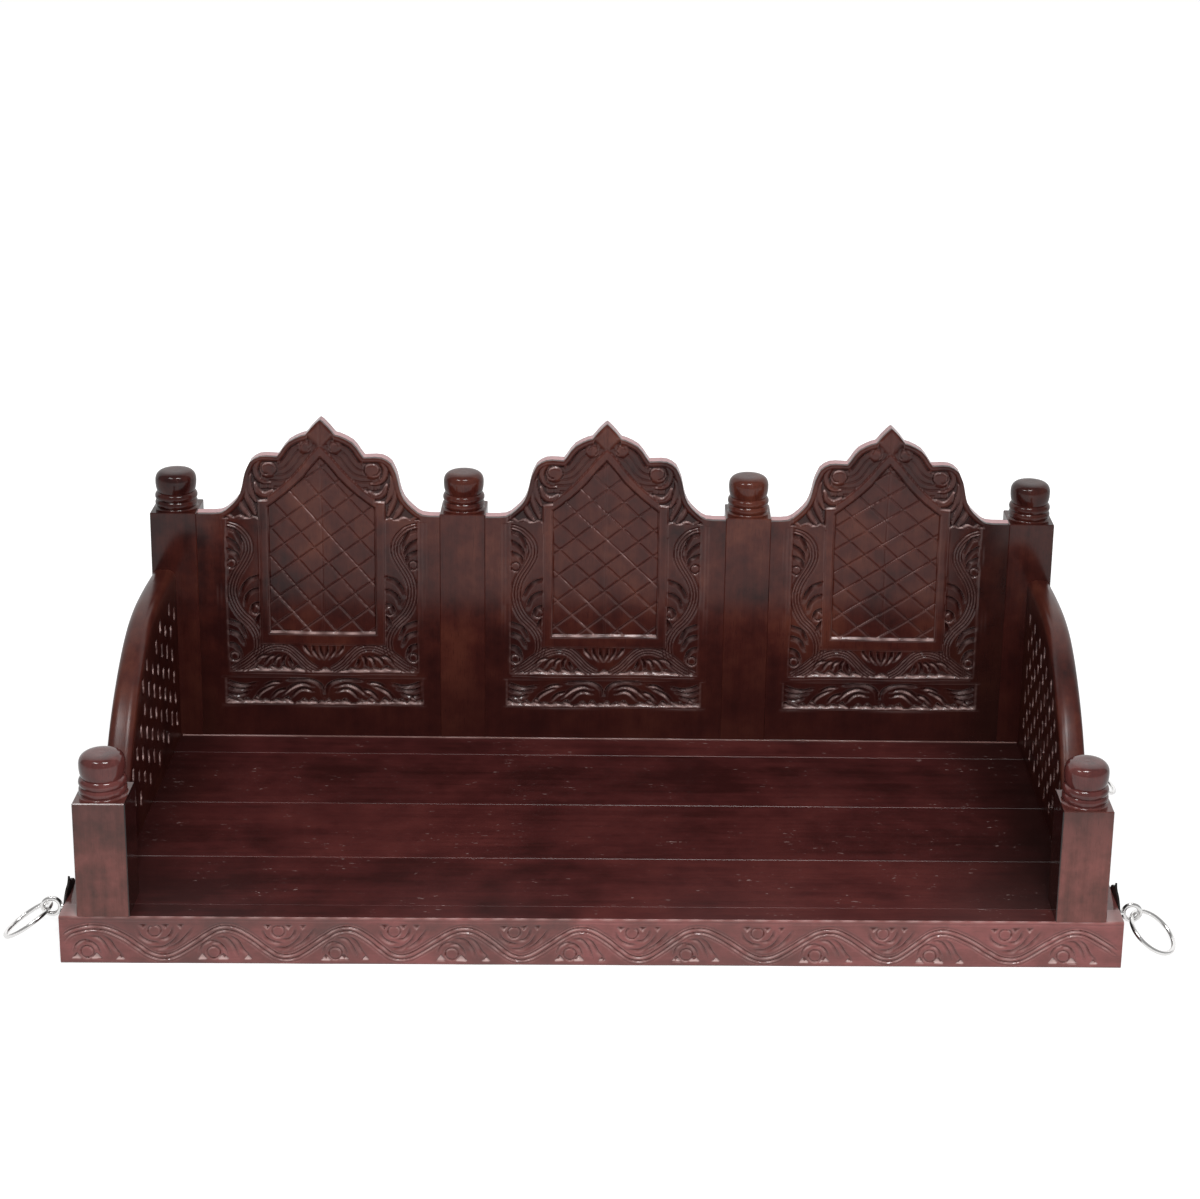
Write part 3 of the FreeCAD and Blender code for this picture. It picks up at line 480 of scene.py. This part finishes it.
def rail_carving(x, z):
    # no line is quite straight
    x, z = x + 0.5 * np.sin(z / 17) + 0.9 * np.sin(x / 71), z + 0.5 * np.sin(x / 37)
    cut, pale = np.zeros_like(x), np.zeros_like(x)
    score(cut, x, z, vine, (3.3,), 3.4, 1.9)
    score(cut, x, z, vine, (7.6,), 1.3)
    for kind in BENDS:
        for number, middle in enumerate(knot[0] for knot in VINE if knot[1] == kind["at"]):
            wide = 1 + 0.08 * math.sin(number * kind["beat"] + kind["phase"])
            bud = (middle + kind["bud"][0] * wide, kind["bud"][1])
            ring_cut(cut, x, z, bud, kind["ring"], 2.6, kind["ring_to"])
            # on the upper bends the chips' floors get a painted highlight
            for at, half, tall, depth in kind["chips"]:
                chip(cut, x, z, (middle + at * wide, kind["margin"]), half, tall, depth,
                     pale if kind["painted_glint"] else None)
            for points, width in kind["leaves"]:
                gouge(cut, x, z, [(middle + a * wide, b) for a, b in points], width, kind["leaf_depth"])
    cut *= ramp(RAIL_END - np.abs(x), 0, 4)
    # painted shade in the cuts, darker where they go deeper, and a painted highlight where the chips' floors are pale
    hollow = np.clip(-cut / 2.6, 0, 1) * (0.75 - pale) - 1.6 * pale
    # a scored line under the upper margin, and both long edges eased
    margin = 0.8 * bump(z - 68.5, 1.3)
    edges = ramp(np.maximum(RAIL_CHAMFER - z, z - (RAIL_TOP - RAIL_CHAMFER)), 0, RAIL_CHAMFER)
    return cut - margin - RAIL_CHAMFER * edges, hollow


columns = np.linspace(-RAIL_HALF, RAIL_HALF, 1151)
heights = np.concatenate([[0, RAIL_CHAMFER], np.linspace(3.2, 70.6, 52), [RAIL_TOP - RAIL_CHAMFER, RAIL_TOP]])
rows = np.repeat(heights[:, None], len(columns), 1)
front_rail = carved_slab("carved_front_rail", columns, rows, RAIL_FRONT, RAIL_BACK, rail_carving, glint_from=0.25)
front_rail.data.materials.append(rail_wood)
front_rail.data.materials.append(timber("red_edge_wood", X_AXIS, *SEAT_SHADES, grain=0.7, worn=True,
                                        sides=(0.45, 0.7, 0.3), coat=(0.6, 0.3)))
# between the posts its top has the seat's finish
for face in front_rail.data.polygons:
    if face.normal.z > 0.9 and abs(face.center.x) < 0.7:
        face.material_index = 1
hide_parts("front_rail")
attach(front_rail, "seat")
dress("back_rail", plain_rail)
for name in ("side_rail_left", "side_rail_right"):
    dress(name, side_wood)


# The seat: four planks of the same wood laid along the swing, flush with the
# rails, worn dull where people sit.
for number, (along, across) in enumerate(((0.0, 0.0), (0.4, 0.3), (0.9, 0.55), (1.7, 0.8)), 1):
    dress("seat_plank_%d" % number, timber(
        "red_plank_wood_%d" % number, X_AXIS, *SEAT_SHADES, shift=(along, across, 0), grain=0.7, worn=True,
        sides=(0.52, 0.72, 0.8), coat=(0.6, 0.3)))


# Under the seat: five plain battens let into the rails, each screwed up into
# the planks, and the pegs that lock the posts' tenons.
batten_wood = timber("plain_batten_wood", Y_AXIS, (0.05, 0.02, 0.015), (0.13, 0.06, 0.04), (0.2, 0.11, 0.075),
                     coat=(0.0, 0.3))
for number in range(1, 6):
    dress("bearer_%d" % number, batten_wood)
dress("tenon_pegs", batten_wood)


# The posts: square hardwood posts, each turned at the top into two beads and
# a bun, and tenoned into the rail under it.
POST_SHADES = ((0.07, 0.024, 0.018), (0.13, 0.039, 0.031), (0.2, 0.06, 0.05))
SHAFT_TOP = 0.252
post_wood = timber("red_post_wood", Z_AXIS, *POST_SHADES, shift=(0.5, 0.2, 0.6), grain=0.9, mottled=0.7,
                   turned=SHAFT_TOP)
back_post_wood = timber("dark_post_wood", Z_AXIS, *BACK_SHADES, shift=(0.1, 0.8, 0.4), grain=0.5, mottled=0.45,
                        low_shade=(0.10, 0.42), coat=(0.7, 0.14))
corner_wood = timber("corner_post_wood", Z_AXIS, *BACK_SHADES, shift=(0.4, 0.1, 0.9), grain=0.5, mottled=0.45,
                     low_shade=(0.10, 0.6), sides=(0.6, 0.9, 0.5), coat=(0.7, 0.14))
for name, wood in (
        ("front_post_left", post_wood), ("front_post_right", post_wood), ("back_post_left", corner_wood),
        ("back_post_right", corner_wood), ("mid_post_left", back_post_wood), ("mid_post_right", back_post_wood)):
    dress(name, wood)


# The back: three boards between the posts. Each is carved with a pointed panel:
# a sunk latticed field in a plain frame, scrolls over it and leaves round it.
# The right half of each outline and stroke is listed, from the board's middle.
BOARD_FRONT, BOARD_BACK, BOARD_FOOT, SHOULDER = 277, 303, 74, 462
TOP = [(0, 623), (3.5, 620.5), (8, 616), (14.5, 609), (20, 602), (23.5, 597.5),
       (31, 595.5), (41, 591), (51, 585), (58.5, 576.5), (64.5, 567), (69.5, 560),
       (78, 560.5), (88, 561), (98, 560), (106.5, 556), (113.5, 550), (118, 541), (121.5, 532), (124, 521.5),
       (126, 511), (129, 500), (133.5, 490), (140, 481.5), (147.5, 474), (155, 467.5), (163, 463.3),
       (175, SHOULDER)]
FIELD_TOP = [(0, 562), (7, 554), (15, 545), (30, 525.5), (45, 510), (60, 496), (75, 484), (86.5, 475.5)]
FIELD_HALF, FIELD_FOOT, FIELD_SHOULDER = 86.5, 257, 475.5
FRAME_HALF, FRAME_FOOT, FRAME_SHOULDER, FRAME_WIDE = 101.5, 239, 485, 13.0
# what stands on the lowered ground of the crest: half widths follow each leaf's path
CREST_LEAVES = (
    ([(66, 551), (72, 557), (84, 558.5), (97, 553), (104, 540), (102, 526), (93, 517), (80, 516)],
     [2.5, 3.8, 4.4, 4.6, 4.6, 4.2, 3, 1.4]),
    ([(40, 586), (52, 577), (60, 565), (66, 552)], [1.6, 2.4, 2.4, 1.4]),
    ([(106, 514), (101, 500), (90, 494), (78, 502)], [2, 5.0, 5.4, 1.8]),
    ([(113, 528), (115, 512), (111, 496), (105, 484)], [1.8, 4.6, 5.0, 2]),
    ([(120, 508), (119, 492), (113, 476), (107, 462)], [1.8, 4.4, 4.8, 2.2]),
    ([(130, 488), (129, 476), (123, 466), (117, 458)], [1.6, 4.2, 4.4, 2]),
    ([(153, 461), (143, 453), (132, 457), (121, 450), (110, 455), (103, 451)], [2.6, 3.4, 2.6, 3.4, 2.6, 2.8]))
COILS = (([(74, 529), (70, 537), (73, 547), (82, 551), (91, 548), (95, 540), (91, 532), (84, 531)], 2.6),
         ([(18, 572), (15, 579), (19, 586), (26, 586), (30, 580)], 2.0))
# down the side: a stem, the leaves in its bends and its buds
SIDE_STEM = [(156, 444), (136, 436), (122, 419), (119, 399), (126, 381), (140, 357), (146.5, 335), (144.5, 313),
             (134, 291), (117, 273), (106.5, 255), (104, 236), (109, 217), (125, 202), (146, 190)]
SIDE_LEAVES = (
    [(155, 439), (141, 437), (132, 424), (129, 409)], [(156, 424), (143, 416), (135, 407), (132, 393)],
    [(156, 404), (144, 399), (136, 393), (134, 381)], [(135, 326), (129, 340), (119, 351), (102, 358)],
    [(128, 307), (124, 322), (113, 332), (101, 335)], [(119, 292), (115, 304), (108, 309), (101, 310)],
    [(112, 270), (109, 280), (104, 287), (101, 289)], [(156, 281), (144, 277), (132, 270), (124, 253)],
    [(156, 262), (144, 259), (134, 252), (128, 239)], [(156, 240), (145, 237), (138, 230), (134, 217)])
SIDE_BUDS = ((147, 377), (109, 297), (146, 215))
# under the frame: a stem with leaves to both sides of it and a ragged row of chips
UNDER_STEM = [(150, 190), (130, 203), (110, 219), (92, 230), (74, 234), (56, 229), (41, 215), (28, 201), (13, 191)]
UNDER_LEAVES = (
    [(90, 217), (104, 213), (114, 202)], [(80, 217), (90, 211), (97, 201)], [(70, 216), (78, 210), (81, 200)],
    [(62, 218), (66, 209), (66, 199)], [(56, 213), (54, 206), (50, 199)],
    [(0, 212), (6, 222), (7, 236)], [(10, 214), (17, 224), (19, 237)], [(22, 219), (30, 228), (33, 238)])
UNDER_PEAKS = [(0, 7), (8, 2), (16, 1), (30, 1), (38, 3), (44, 8), (52, 3), (60, 4), (68, 9), (76, 3), (86, 8),
               (93, 3), (104, 9), (113, 5), (124, 1), (150, 1)]
# the band at the foot: leaves with their widths, over another ragged row
BAND_LEAVES = (
    ([(62, 176), (44, 177.5), (20, 175), (4, 165), (0, 147)], 6), ([(158, 173), (143, 167), (128, 165), (112, 169)], 6),
    ([(158, 163), (145, 158), (131, 158), (118, 163)], 6), ([(157, 151), (147, 147), (135, 149), (126, 154)], 5),
    ([(80, 164), (92, 158), (104, 150), (112, 140)], 6), ([(72, 169), (86, 167), (99, 161)], 5),
    ([(20, 163), (36, 166), (52, 160), (68, 147)], 7), ([(20, 154), (34, 157), (44, 153), (54, 143)], 6),
    ([(62, 157), (76, 152), (86, 142)], 5))
BAND_PEAKS = [(0, 3), (6, 8), (11, 2), (20, 9), (27, 4), (34, 10), (41, 3), (50, 1), (55, 3), (61, 10), (69, 5),
              (77, 10), (85, 3), (90, 2), (98, 9), (105, 4), (113, 11), (121, 5), (128, 10), (134, 3), (143, 11),
              (150, 6), (157, 9)]


def leaf(motif, x, z, points, widths):
    """A rounded stroke left standing. Its half width follows the list along the path."""
    top, drop = -0.4, 3.0
    spots, off, along = reach(x, z, bend(points), max(widths) + 1)
    half = np.interp(along, np.linspace(0, 1, len(widths)), widths)
    rise = top - drop + drop * np.sqrt(np.clip(1 - (off / half) ** 2, 0, 1))
    motif[spots] = np.maximum(motif[spots], np.where(off < half, rise, -99))


def button(motif, x, z, centre, radius, drop):
    """A round button left standing, with a nearly flat top."""
    off = np.hypot(x - centre[0], z - centre[1])
    inside = off < radius
    rise = 0.2 - drop + drop * np.sqrt(1 - (off[inside] / radius) ** 4)
    motif[inside] = np.maximum(motif[inside], rise)


def ragged_foot(cut, pale, x, z, low, peaks, depth):
    """A row of chips run together. Their floor rises to the margin at their foot, painted pale: a painted highlight."""
    tall = np.interp(np.abs(x), *np.array(peaks, float).T) * (1 + 0.25 * np.sin(x / 3.7))
    share = (z - low) / np.maximum(tall, 0.5)
    inside = (share > 0) & (share < 1) & (tall > 1.2)
    np.minimum(cut, np.where(inside, -depth * (0.2 + 0.8 * share), 0), out=cut)
    np.maximum(pale, np.where(inside & (share < 0.8), 0.75 + 0.25 * np.sin(x / 2.9 + z), 0), out=pale)


def inside_field(u, z):
    """How far inside the sunk field, and inside the frame round it, a spot is."""
    roof = np.array(FIELD_TOP, float)
    steep = np.interp(u, roof[:, 0], 1 / np.hypot(1, np.gradient(roof[:, 1], roof[:, 0])))
    under = (np.interp(u, roof[:, 0], roof[:, 1], right=FIELD_SHOULDER) - z) * steep
    inner = np.minimum(np.minimum(FIELD_HALF - u, under), z - FIELD_FOOT)
    shoulder = FRAME_SHOULDER - (u - FIELD_HALF) * 0.1 - z
    outer = np.minimum(FRAME_HALF - u, np.where(u > FIELD_HALF, shoulder, under + FRAME_WIDE))
    return inner, outer


def crest_carving(u, z, outer):
    """Over the frame the ground is lowered, and a rolled edge, scrolls and leaves stand on it."""
    crest_foot, crest_half, ground = 455, 158, -4.0
    room = np.where(z > crest_foot, np.minimum(-outer, crest_half - u), -9)
    cut = ground * np.clip(room / 1.8, 0, 1)
    lowered = cut < ground / 2
    motif = np.full_like(cut, -99.0)
    inward = np.full_like(cut, 99.0)
    spots, off, along = reach(u, z, np.array(TOP, float), 40)
    inward[spots] = off
    rolled = (inward < 8.8) & (u < crest_half) & (u > 21)
    motif[rolled] = -3.2 + 3.5 * np.sqrt(np.clip(1 - ((inward[rolled] - 3.6) / 5.2) ** 2, 0, 1))
    # a broad grooved leaf fills each lobe, inside the rolled edge
    broad = (inward > 10.5) & (u < 96) & (z > 506)
    grooves = np.clip(np.cos((inward[broad] - 10.5) * 0.62), 0, 1) ** 3
    motif[broad] = np.maximum(motif[broad], -2.0 - 0.9 * grooves)
    # the bud at the point, with a groove down its middle
    bud = 1.12 - u / 24 - np.abs(z - 600) / 27
    inside = (bud > 0) & (z > 572) & (u < 24)
    swell = 3.4 * np.sqrt(np.clip(bud[inside] * 2.2, 0, 1)) - 0.9 * np.exp(-(u[inside] / 2.2) ** 2)
    motif[inside] = np.maximum(motif[inside], swell - 3.4)
    button(motif, u, z, (24, 578), 11.5, 3.4)
    button(motif, u, z, (83, 538), 14.5, 3.8)
    for points, widths in CREST_LEAVES:
        leaf(motif, u, z, points, widths)
    coil = np.zeros_like(cut)
    for points, depth in COILS:
        score(coil, u, z, points, (0,), depth)
    standing = lowered & (motif > -50)
    cut[standing] = np.maximum(cut[standing], np.minimum(motif[standing], 0.4)) + coil[standing]
    return cut


def room_in(u, z, left, right, low, high):
    """How far inside a rectangle a spot is."""
    return np.min([u - left, right - u, z - low, high - z], 0)


def stroke_carving(x, u, z):
    """Down the sides, under the frame and along the foot the strokes are cut into a face
    only a little lower. Gives the cut and how much painted highlight it has."""
    strokes, painted_glint = np.zeros_like(u), np.zeros_like(u)
    score(strokes, u, z, SIDE_STEM, (2.4, 7.2), 2.0)
    for points in SIDE_LEAVES:
        gouge(strokes, u, z, points, 6.8, 5.3)
    for centre in SIDE_BUDS:
        ring_cut(strokes, u, z, centre, 7.4, 2.8)
    score(strokes, u, z, UNDER_STEM, (2.3, 6.6), 2.0)
    for points in UNDER_LEAVES:
        gouge(strokes, u, z, points, 5.5, 4.4)
    for points, width in BAND_LEAVES:
        gouge(strokes, u, z, points, width, 4.6)
    ragged_foot(strokes, painted_glint, x, z, 190.5, UNDER_PEAKS, 5.5)
    ragged_foot(strokes, painted_glint, x, z, 132.5, BAND_PEAKS, 5.6)
    lower = np.max([room_in(u, z, 102, 154.5, 189, 456), room_in(u, z, -99, 152, 189, 237),
                    room_in(u, z, -99, 160, 132, 178.5)], 0)
    lower = np.clip(lower / 1.2, 0, 1)
    return lower * (strokes - 0.9), painted_glint * lower


def panel_carving(x, z, down, up, lift, seed, lit):
    """The panel of one board. down and up are the slants of the lattice's two sets of lines,
    lift moves them apart, lit says which set gets a painted highlight and seed sets the board's waver."""
    x = x + 0.5 * np.sin(z / 41 + seed) + 0.3 * np.sin(z / 13 + 2 * seed)
    z = z + 0.5 * np.sin(x / 33 + 1.7 * seed)
    u = np.abs(x)
    inner, outer = inside_field(u, z)
    strokes, painted_glint = stroke_carving(x, u, z)
    cut = crest_carving(u, z, outer) + strokes
    # the frame is eased along both edges, and the field sunk inside it
    frame_band = (outer > 0) & (inner < 0) & (z > FRAME_FOOT)
    cut[frame_band] = -0.9 * (1 - ramp(np.minimum(outer, -inner)[frame_band], 0, 2.6))
    field = (inner > -0.3) & (outer > 0)
    cut[field] = np.minimum(cut[field], -5.0 * ramp(inner[field], -0.3, 1.5))
    # painted shade: darker where the cuts go deeper, and a little in the sunk field
    hollow = np.where(inner > 0, 0.12, np.clip(-cut / 3.6 - 0.1, 0, 1))
    lines = []
    for angle, pitch, at in ((-down, 33.0, lift), (up, 34.0, -lift)):
        a = math.radians(angle)
        across = -x * math.sin(a) + (z - 380) * math.cos(a) - at
        off = (across + pitch / 2) % pitch - pitch / 2
        lines.append(np.where(inner > 1, bump(off, 1.5), 0))
    # the lattice's lines are painted dark, a painted shade, and one set of them pale, a painted highlight
    cut -= 1.6 * np.maximum(*lines)
    hollow += 0.6 * np.maximum(*lines)
    pale = 1.5 * lines[lit] ** 2 * (0.6 + 0.4 * np.sin(x / 23 + z / 31))
    # a marking line up the middle, ruled lines beside the panel, across the strip and under the frame
    cut -= np.where(inner > 1, 0.5 * np.exp(-(u / 0.9) ** 2), 0)
    for at in (159.5, 166):
        cut -= np.where((z < 452) & (z > 134), 0.9 * bump(u - at, 1.1) * ramp(z, 240, 330), 0)
    for at, length in ((238, 104), (186, 151), (179.5, 166), (131, 166)):
        cut -= np.where(u < length, 0.8 * bump(z - at, 1.1), 0)
    # the field's foot is painted dark, a painted shade, and keeps its painted highlight only in places
    foot = (np.abs(z - FIELD_FOOT - 1) < 3.5) & (u < 87)
    hollow = np.where(foot, 0.45 + 0.25 * np.sin(x / 13 + seed), hollow)
    return cut, np.clip(hollow - pale - 1.4 * painted_glint, -1, 1)


board_wood = timber("carved_board_wood", Z_AXIS, *BACK_SHADES, shift=(0.7, 0.3, 0.2), carved=True, grain=0.4,
                    mottled=0.45, low_shade=(0.10, 0.42), rim=(0.2845, 0.3025), sides=(0.55, 0.7, 0.65),
                    coat=(0.7, 0.15))
CARVED_HALF, FINE_FROM, FINE_TO = 155, 129, 440
for name, middle, left, right, down, up, lift, seed, lit in (
        ("left", -461, -662, -270, 50, 37, 6, 0.7, 0), ("centre", 0, -196, 196, 44, 38, 0, 2.1, 0),
        ("right", 461, 270, 662, 42, 33, -5, 4.0, 1)):
    columns = np.unique(np.concatenate([
        np.linspace(-CARVED_HALF, CARVED_HALF, 233), np.linspace(left - middle, -CARVED_HALF, 16),
        np.linspace(CARVED_HALF, right - middle, 16)]))
    top = np.interp(np.abs(columns), *np.array(TOP, float).T, right=SHOULDER)
    # level rows up to the crest, then rows stretched to its outline
    level = np.concatenate([np.linspace(BOARD_FOOT, FINE_FROM, 12), np.linspace(FINE_FROM + 1.3, FINE_TO, 232)])
    stretched = FINE_TO + (top - FINE_TO)[None, :] * np.linspace(0, 1, 92)[1:, None]
    rows = np.concatenate([np.repeat(level[:, None], len(columns), 1), stretched])
    board = carved_slab("carved_board_" + name, columns, rows, BOARD_FRONT, BOARD_BACK,
                        lambda x, z: panel_carving(x, z, down, up, lift, seed, lit), middle)
    board.data.materials.append(board_wood)
    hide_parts("back_board_" + name)
    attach(board, "seat")


# The bead: an uneven, shining line where the seat meets the boards and their posts. It is a thin
# rounded strip of paler wood, and its pale colour is a painted highlight along the joint.
bpy.ops.object.select_all(action="DESELECT")
bpy.ops.mesh.primitive_cylinder_add(vertices=10, radius=0.0017, depth=1.392, location=(0, 0.2764, 0.0743),
                                    rotation=(0, math.pi / 2, 0))
bead = bpy.context.object
bead.name = bead.data.name = "foot_bead"
bpy.ops.object.transform_apply(location=True, rotation=True, scale=True)
bpy.ops.object.mode_set(mode="EDIT")
for at in np.arange(-0.68, 0.69, 0.02):
    bpy.ops.mesh.select_all(action="SELECT")
    bpy.ops.mesh.bisect(plane_co=(at, 0, 0), plane_no=(1, 0, 0))
bpy.ops.object.mode_set(mode="OBJECT")
for spot in bead.data.vertices:
    wave = math.sin(spot.co.x * 23) + 0.6 * math.sin(spot.co.x * 61 + 1)
    spot.co.y -= 0.0005 * wave
    spot.co.z += 0.0003 * wave
bpy.ops.object.shade_smooth_by_angle(angle=math.radians(60))
bead.data.materials.append(
    timber("bead_painted_highlight", X_AXIS, (0.1, 0.05, 0.045), (0.17, 0.09, 0.08), (0.3, 0.19, 0.18)))
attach(bead, "seat")


# The arms: thick boards between the front and back posts, with a crest that
# sweeps down to the front. The inner faces are cut with rows of small hollows.
# The crest is listed from the back, in shares of the arm's length and rise.
ARM_CREST = [(1, 1), (0.88, 1.01), (0.772, 1.01), (0.699, 1), (0.627, 0.973), (0.554, 0.921), (0.482, 0.846),
             (0.409, 0.75), (0.355, 0.661), (0.31, 0.568), (0.268, 0.466), (0.237, 0.37), (0.192, 0.288),
             (0.138, 0.243), (0.065, 0.216), (0, 0.205)]
ARM_HALF, ARM_FOOT, ARM_RISE, ARM_INNER, ARM_OUTER, ARM_ROUND = 276, 74, 292, 698, 736, 14.0
arm_wood = timber("carved_arm_wood", Y_AXIS, *BACK_SHADES, shift=(0.2, 0.6, 0.9), carved=True, grain=0.6,
                  coat=(0.8, 0.3))
crest_line = bend([(y * 2 * ARM_HALF - ARM_HALF, ARM_FOOT + z * ARM_RISE) for y, z in reversed(ARM_CREST)])


def arm_lattice(y, z, steps, start):
    """Staggered rows of small upright pockets, each deepest against its back wall.
    steps are the two steps of their lattice, start is one of its spots."""
    (ay, az), (by, bz) = steps
    p, q = np.linalg.inv(np.array([[ay, by], [az, bz]], float)) @ np.stack([y - start[0], z - start[1]])
    p, q = np.rint(p), np.rint(q)
    hy, hz = p * ay + q * by + start[0], p * az + q * bz + start[1]
    # each pocket has its own height, lean, place and length
    dz = z - hz + 1.6 * np.sin(3.1 * p + 1.7 * q)
    dy = y - hy - 0.1 * dz * np.sin(2.3 * p + 4.7 * q) + 0.8 * np.sin(1.9 * p - 2.2 * q)
    room = np.interp(hy, crest_line[:, 0], crest_line[:, 1]) - hz
    wanted = (room > 36) & (hz > 104) & (hy > -205) & (hy < 255)
    upright = np.clip((11.2 + 1.3 * np.sin(5.9 * p + 3.7 * q) - np.abs(dz)) / 2.5, 0, 1)
    scoop = np.where(dy > -6.5, np.clip((dy + 6.5) / 9.0, 0, 1), 0) * np.clip((5.2 - dy) / 1.3, 0, 1) * upright
    # the back wall of each pocket is painted pale: a painted highlight
    wall = np.where(wanted & (dy > 3.3) & (dy < 5.3), upright, 0)
    return np.where(wanted, 5.8 * scoop, 0), wall * (0.62 + 0.38 * np.sin(5.3 * p + 2.9 * q + dz / 4))


for name, side, steps, start in (
        ("left", -1, ((42, -21), (35, 20)), (0, 200)), ("right", 1, ((50, 0), (25, 23)), (5, 200))):
    rows_in, turn, rows_out = 130, 11, 24
    columns = np.linspace(-ARM_HALF, ARM_HALF, 425)
    arm, i, j = grid("carved_arm_" + name, len(columns), rows_in + 2 * turn + rows_out)
    y, high = columns[i], np.interp(columns, crest_line[:, 0], crest_line[:, 1])[i]
    # up the inner face, over the rounded crest, down the outer face
    inside, outside = j < rows_in, j >= rows_in + 2 * turn
    straight = high - ARM_ROUND - ARM_FOOT
    angle = np.clip((j - rows_in) / (2 * turn - 1), 0, 1) * math.pi
    centre = np.where(angle < math.pi / 2, ARM_INNER + ARM_ROUND, ARM_OUTER - ARM_ROUND)
    z = high - ARM_ROUND + ARM_ROUND * np.sin(angle)
    z = np.where(inside, ARM_FOOT + straight * j / rows_in, z)
    z = np.where(outside, ARM_FOOT + straight * (1 - (j - rows_in - 2 * turn + 1) / rows_out), z)
    scoop, wall = arm_lattice(y, z, steps, start)
    x = np.where(inside, ARM_INNER + scoop, np.where(outside, ARM_OUTER, centre - ARM_ROUND * np.cos(angle)))
    # the inner face is painted dark below its crest, a painted shade, most behind the front post
    dark = (0.6 + 0.4 * ramp(-y, 20, 170)) * ramp(high - z, 14, 40)
    shape(arm.data, side * x, y, z, np.where(inside, dark, 0), np.where(inside, wall, 0))
    # each open edge gets one flat face: front, back and foot
    bpy.ops.object.mode_set(mode="EDIT")
    bpy.ops.mesh.select_mode(type="EDGE")
    for axis, place in ((1, -ARM_HALF), (1, ARM_HALF), (2, ARM_FOOT)):
        bpy.ops.mesh.select_all(action="DESELECT")
        bpy.ops.object.mode_set(mode="OBJECT")
        ends = arm.data.vertices
        for edge in arm.data.edges:
            if all(abs(ends[v].co[axis] - place / MILLIMETRES) < 1e-5 for v in edge.vertices):
                edge.select = True
        bpy.ops.object.mode_set(mode="EDIT")
        bpy.ops.mesh.edge_face_add()
    bpy.ops.mesh.select_all(action="SELECT")
    bpy.ops.mesh.normals_make_consistent(inside=False)
    bpy.ops.object.mode_set(mode="OBJECT")
    bpy.ops.object.shade_smooth_by_angle(angle=math.radians(60))
    arm.data.materials.append(arm_wood)
    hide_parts("arm_" + name)
    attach(arm, "seat")


# The ironwork: forged leaf plates of dark iron, screwed to the side rails.
IRON_SHADES = [(0.4, (0.012, 0.011, 0.011)), (0.6, (0.03, 0.024, 0.022)), (0.75, (0.07, 0.035, 0.022))]
iron, tree = material("black_iron")
place = object_place(tree)
blows = noise(tree, place, 160.0, 3.0)
rust = noise(tree, place, 45.0, 5.0, 0.7)
colour = add(tree, "ValToRGB", {"stops": IRON_SHADES}, {"Fac": rust})
normal = add(tree, "Bump", {}, {"Height": blows, "Strength": 0.4, "Distance": 0.0008})
surface(tree, add(tree, "BsdfPrincipled", {}, {
    "Base Color": colour, "Metallic": 0.7, "Roughness": 0.32 + rust * 0.3, "Normal": normal}))
for name in nodes:
    if name.startswith("plate"):
        dress(name, iron)


# The hanging gear: chromed eye bolts with loose chromed rings, and zinc
# washers and nuts inside the rails. Each ring swings in its eye. The screws
# under the seat are zinc too.
CHROME, CHROME_SPECK = (0.9, 0.89, 0.88, 1), (0.3, 0.2, 0.15, 1)
ZINC_SHADES = [(0.35, (0.3, 0.29, 0.25)), (0.65, (0.48, 0.47, 0.43))]
chrome, tree = material("chrome_plate")
place = object_place(tree)
smear = noise(tree, place, 60.0, 4.0)
specks = ((noise(tree, place, 700.0, 2.0) - 0.66) * 9.0).kept()
surface(tree, add(tree, "BsdfPrincipled", {}, {
    "Base Color": mixed(tree, specks, CHROME, CHROME_SPECK), "Metallic": 1.0, "Roughness": 0.1 + smear * 0.22}))
zinc, tree = material("zinc_plate")
bloom = noise(tree, object_place(tree), 120.0, 4.0)
colour = add(tree, "ValToRGB", {"stops": ZINC_SHADES}, {"Fac": bloom})
surface(tree, add(tree, "BsdfPrincipled", {}, {
    "Base Color": colour, "Metallic": 1.0, "Roughness": 0.3 + bloom * 0.25}))
for name in nodes:
    if name.startswith(("ring", "eye_bolt")):
        dress(name, chrome)
    elif name.startswith(("eye_nuts", "eye_washers", "bearer_screws")):
        dress(name, zinc)
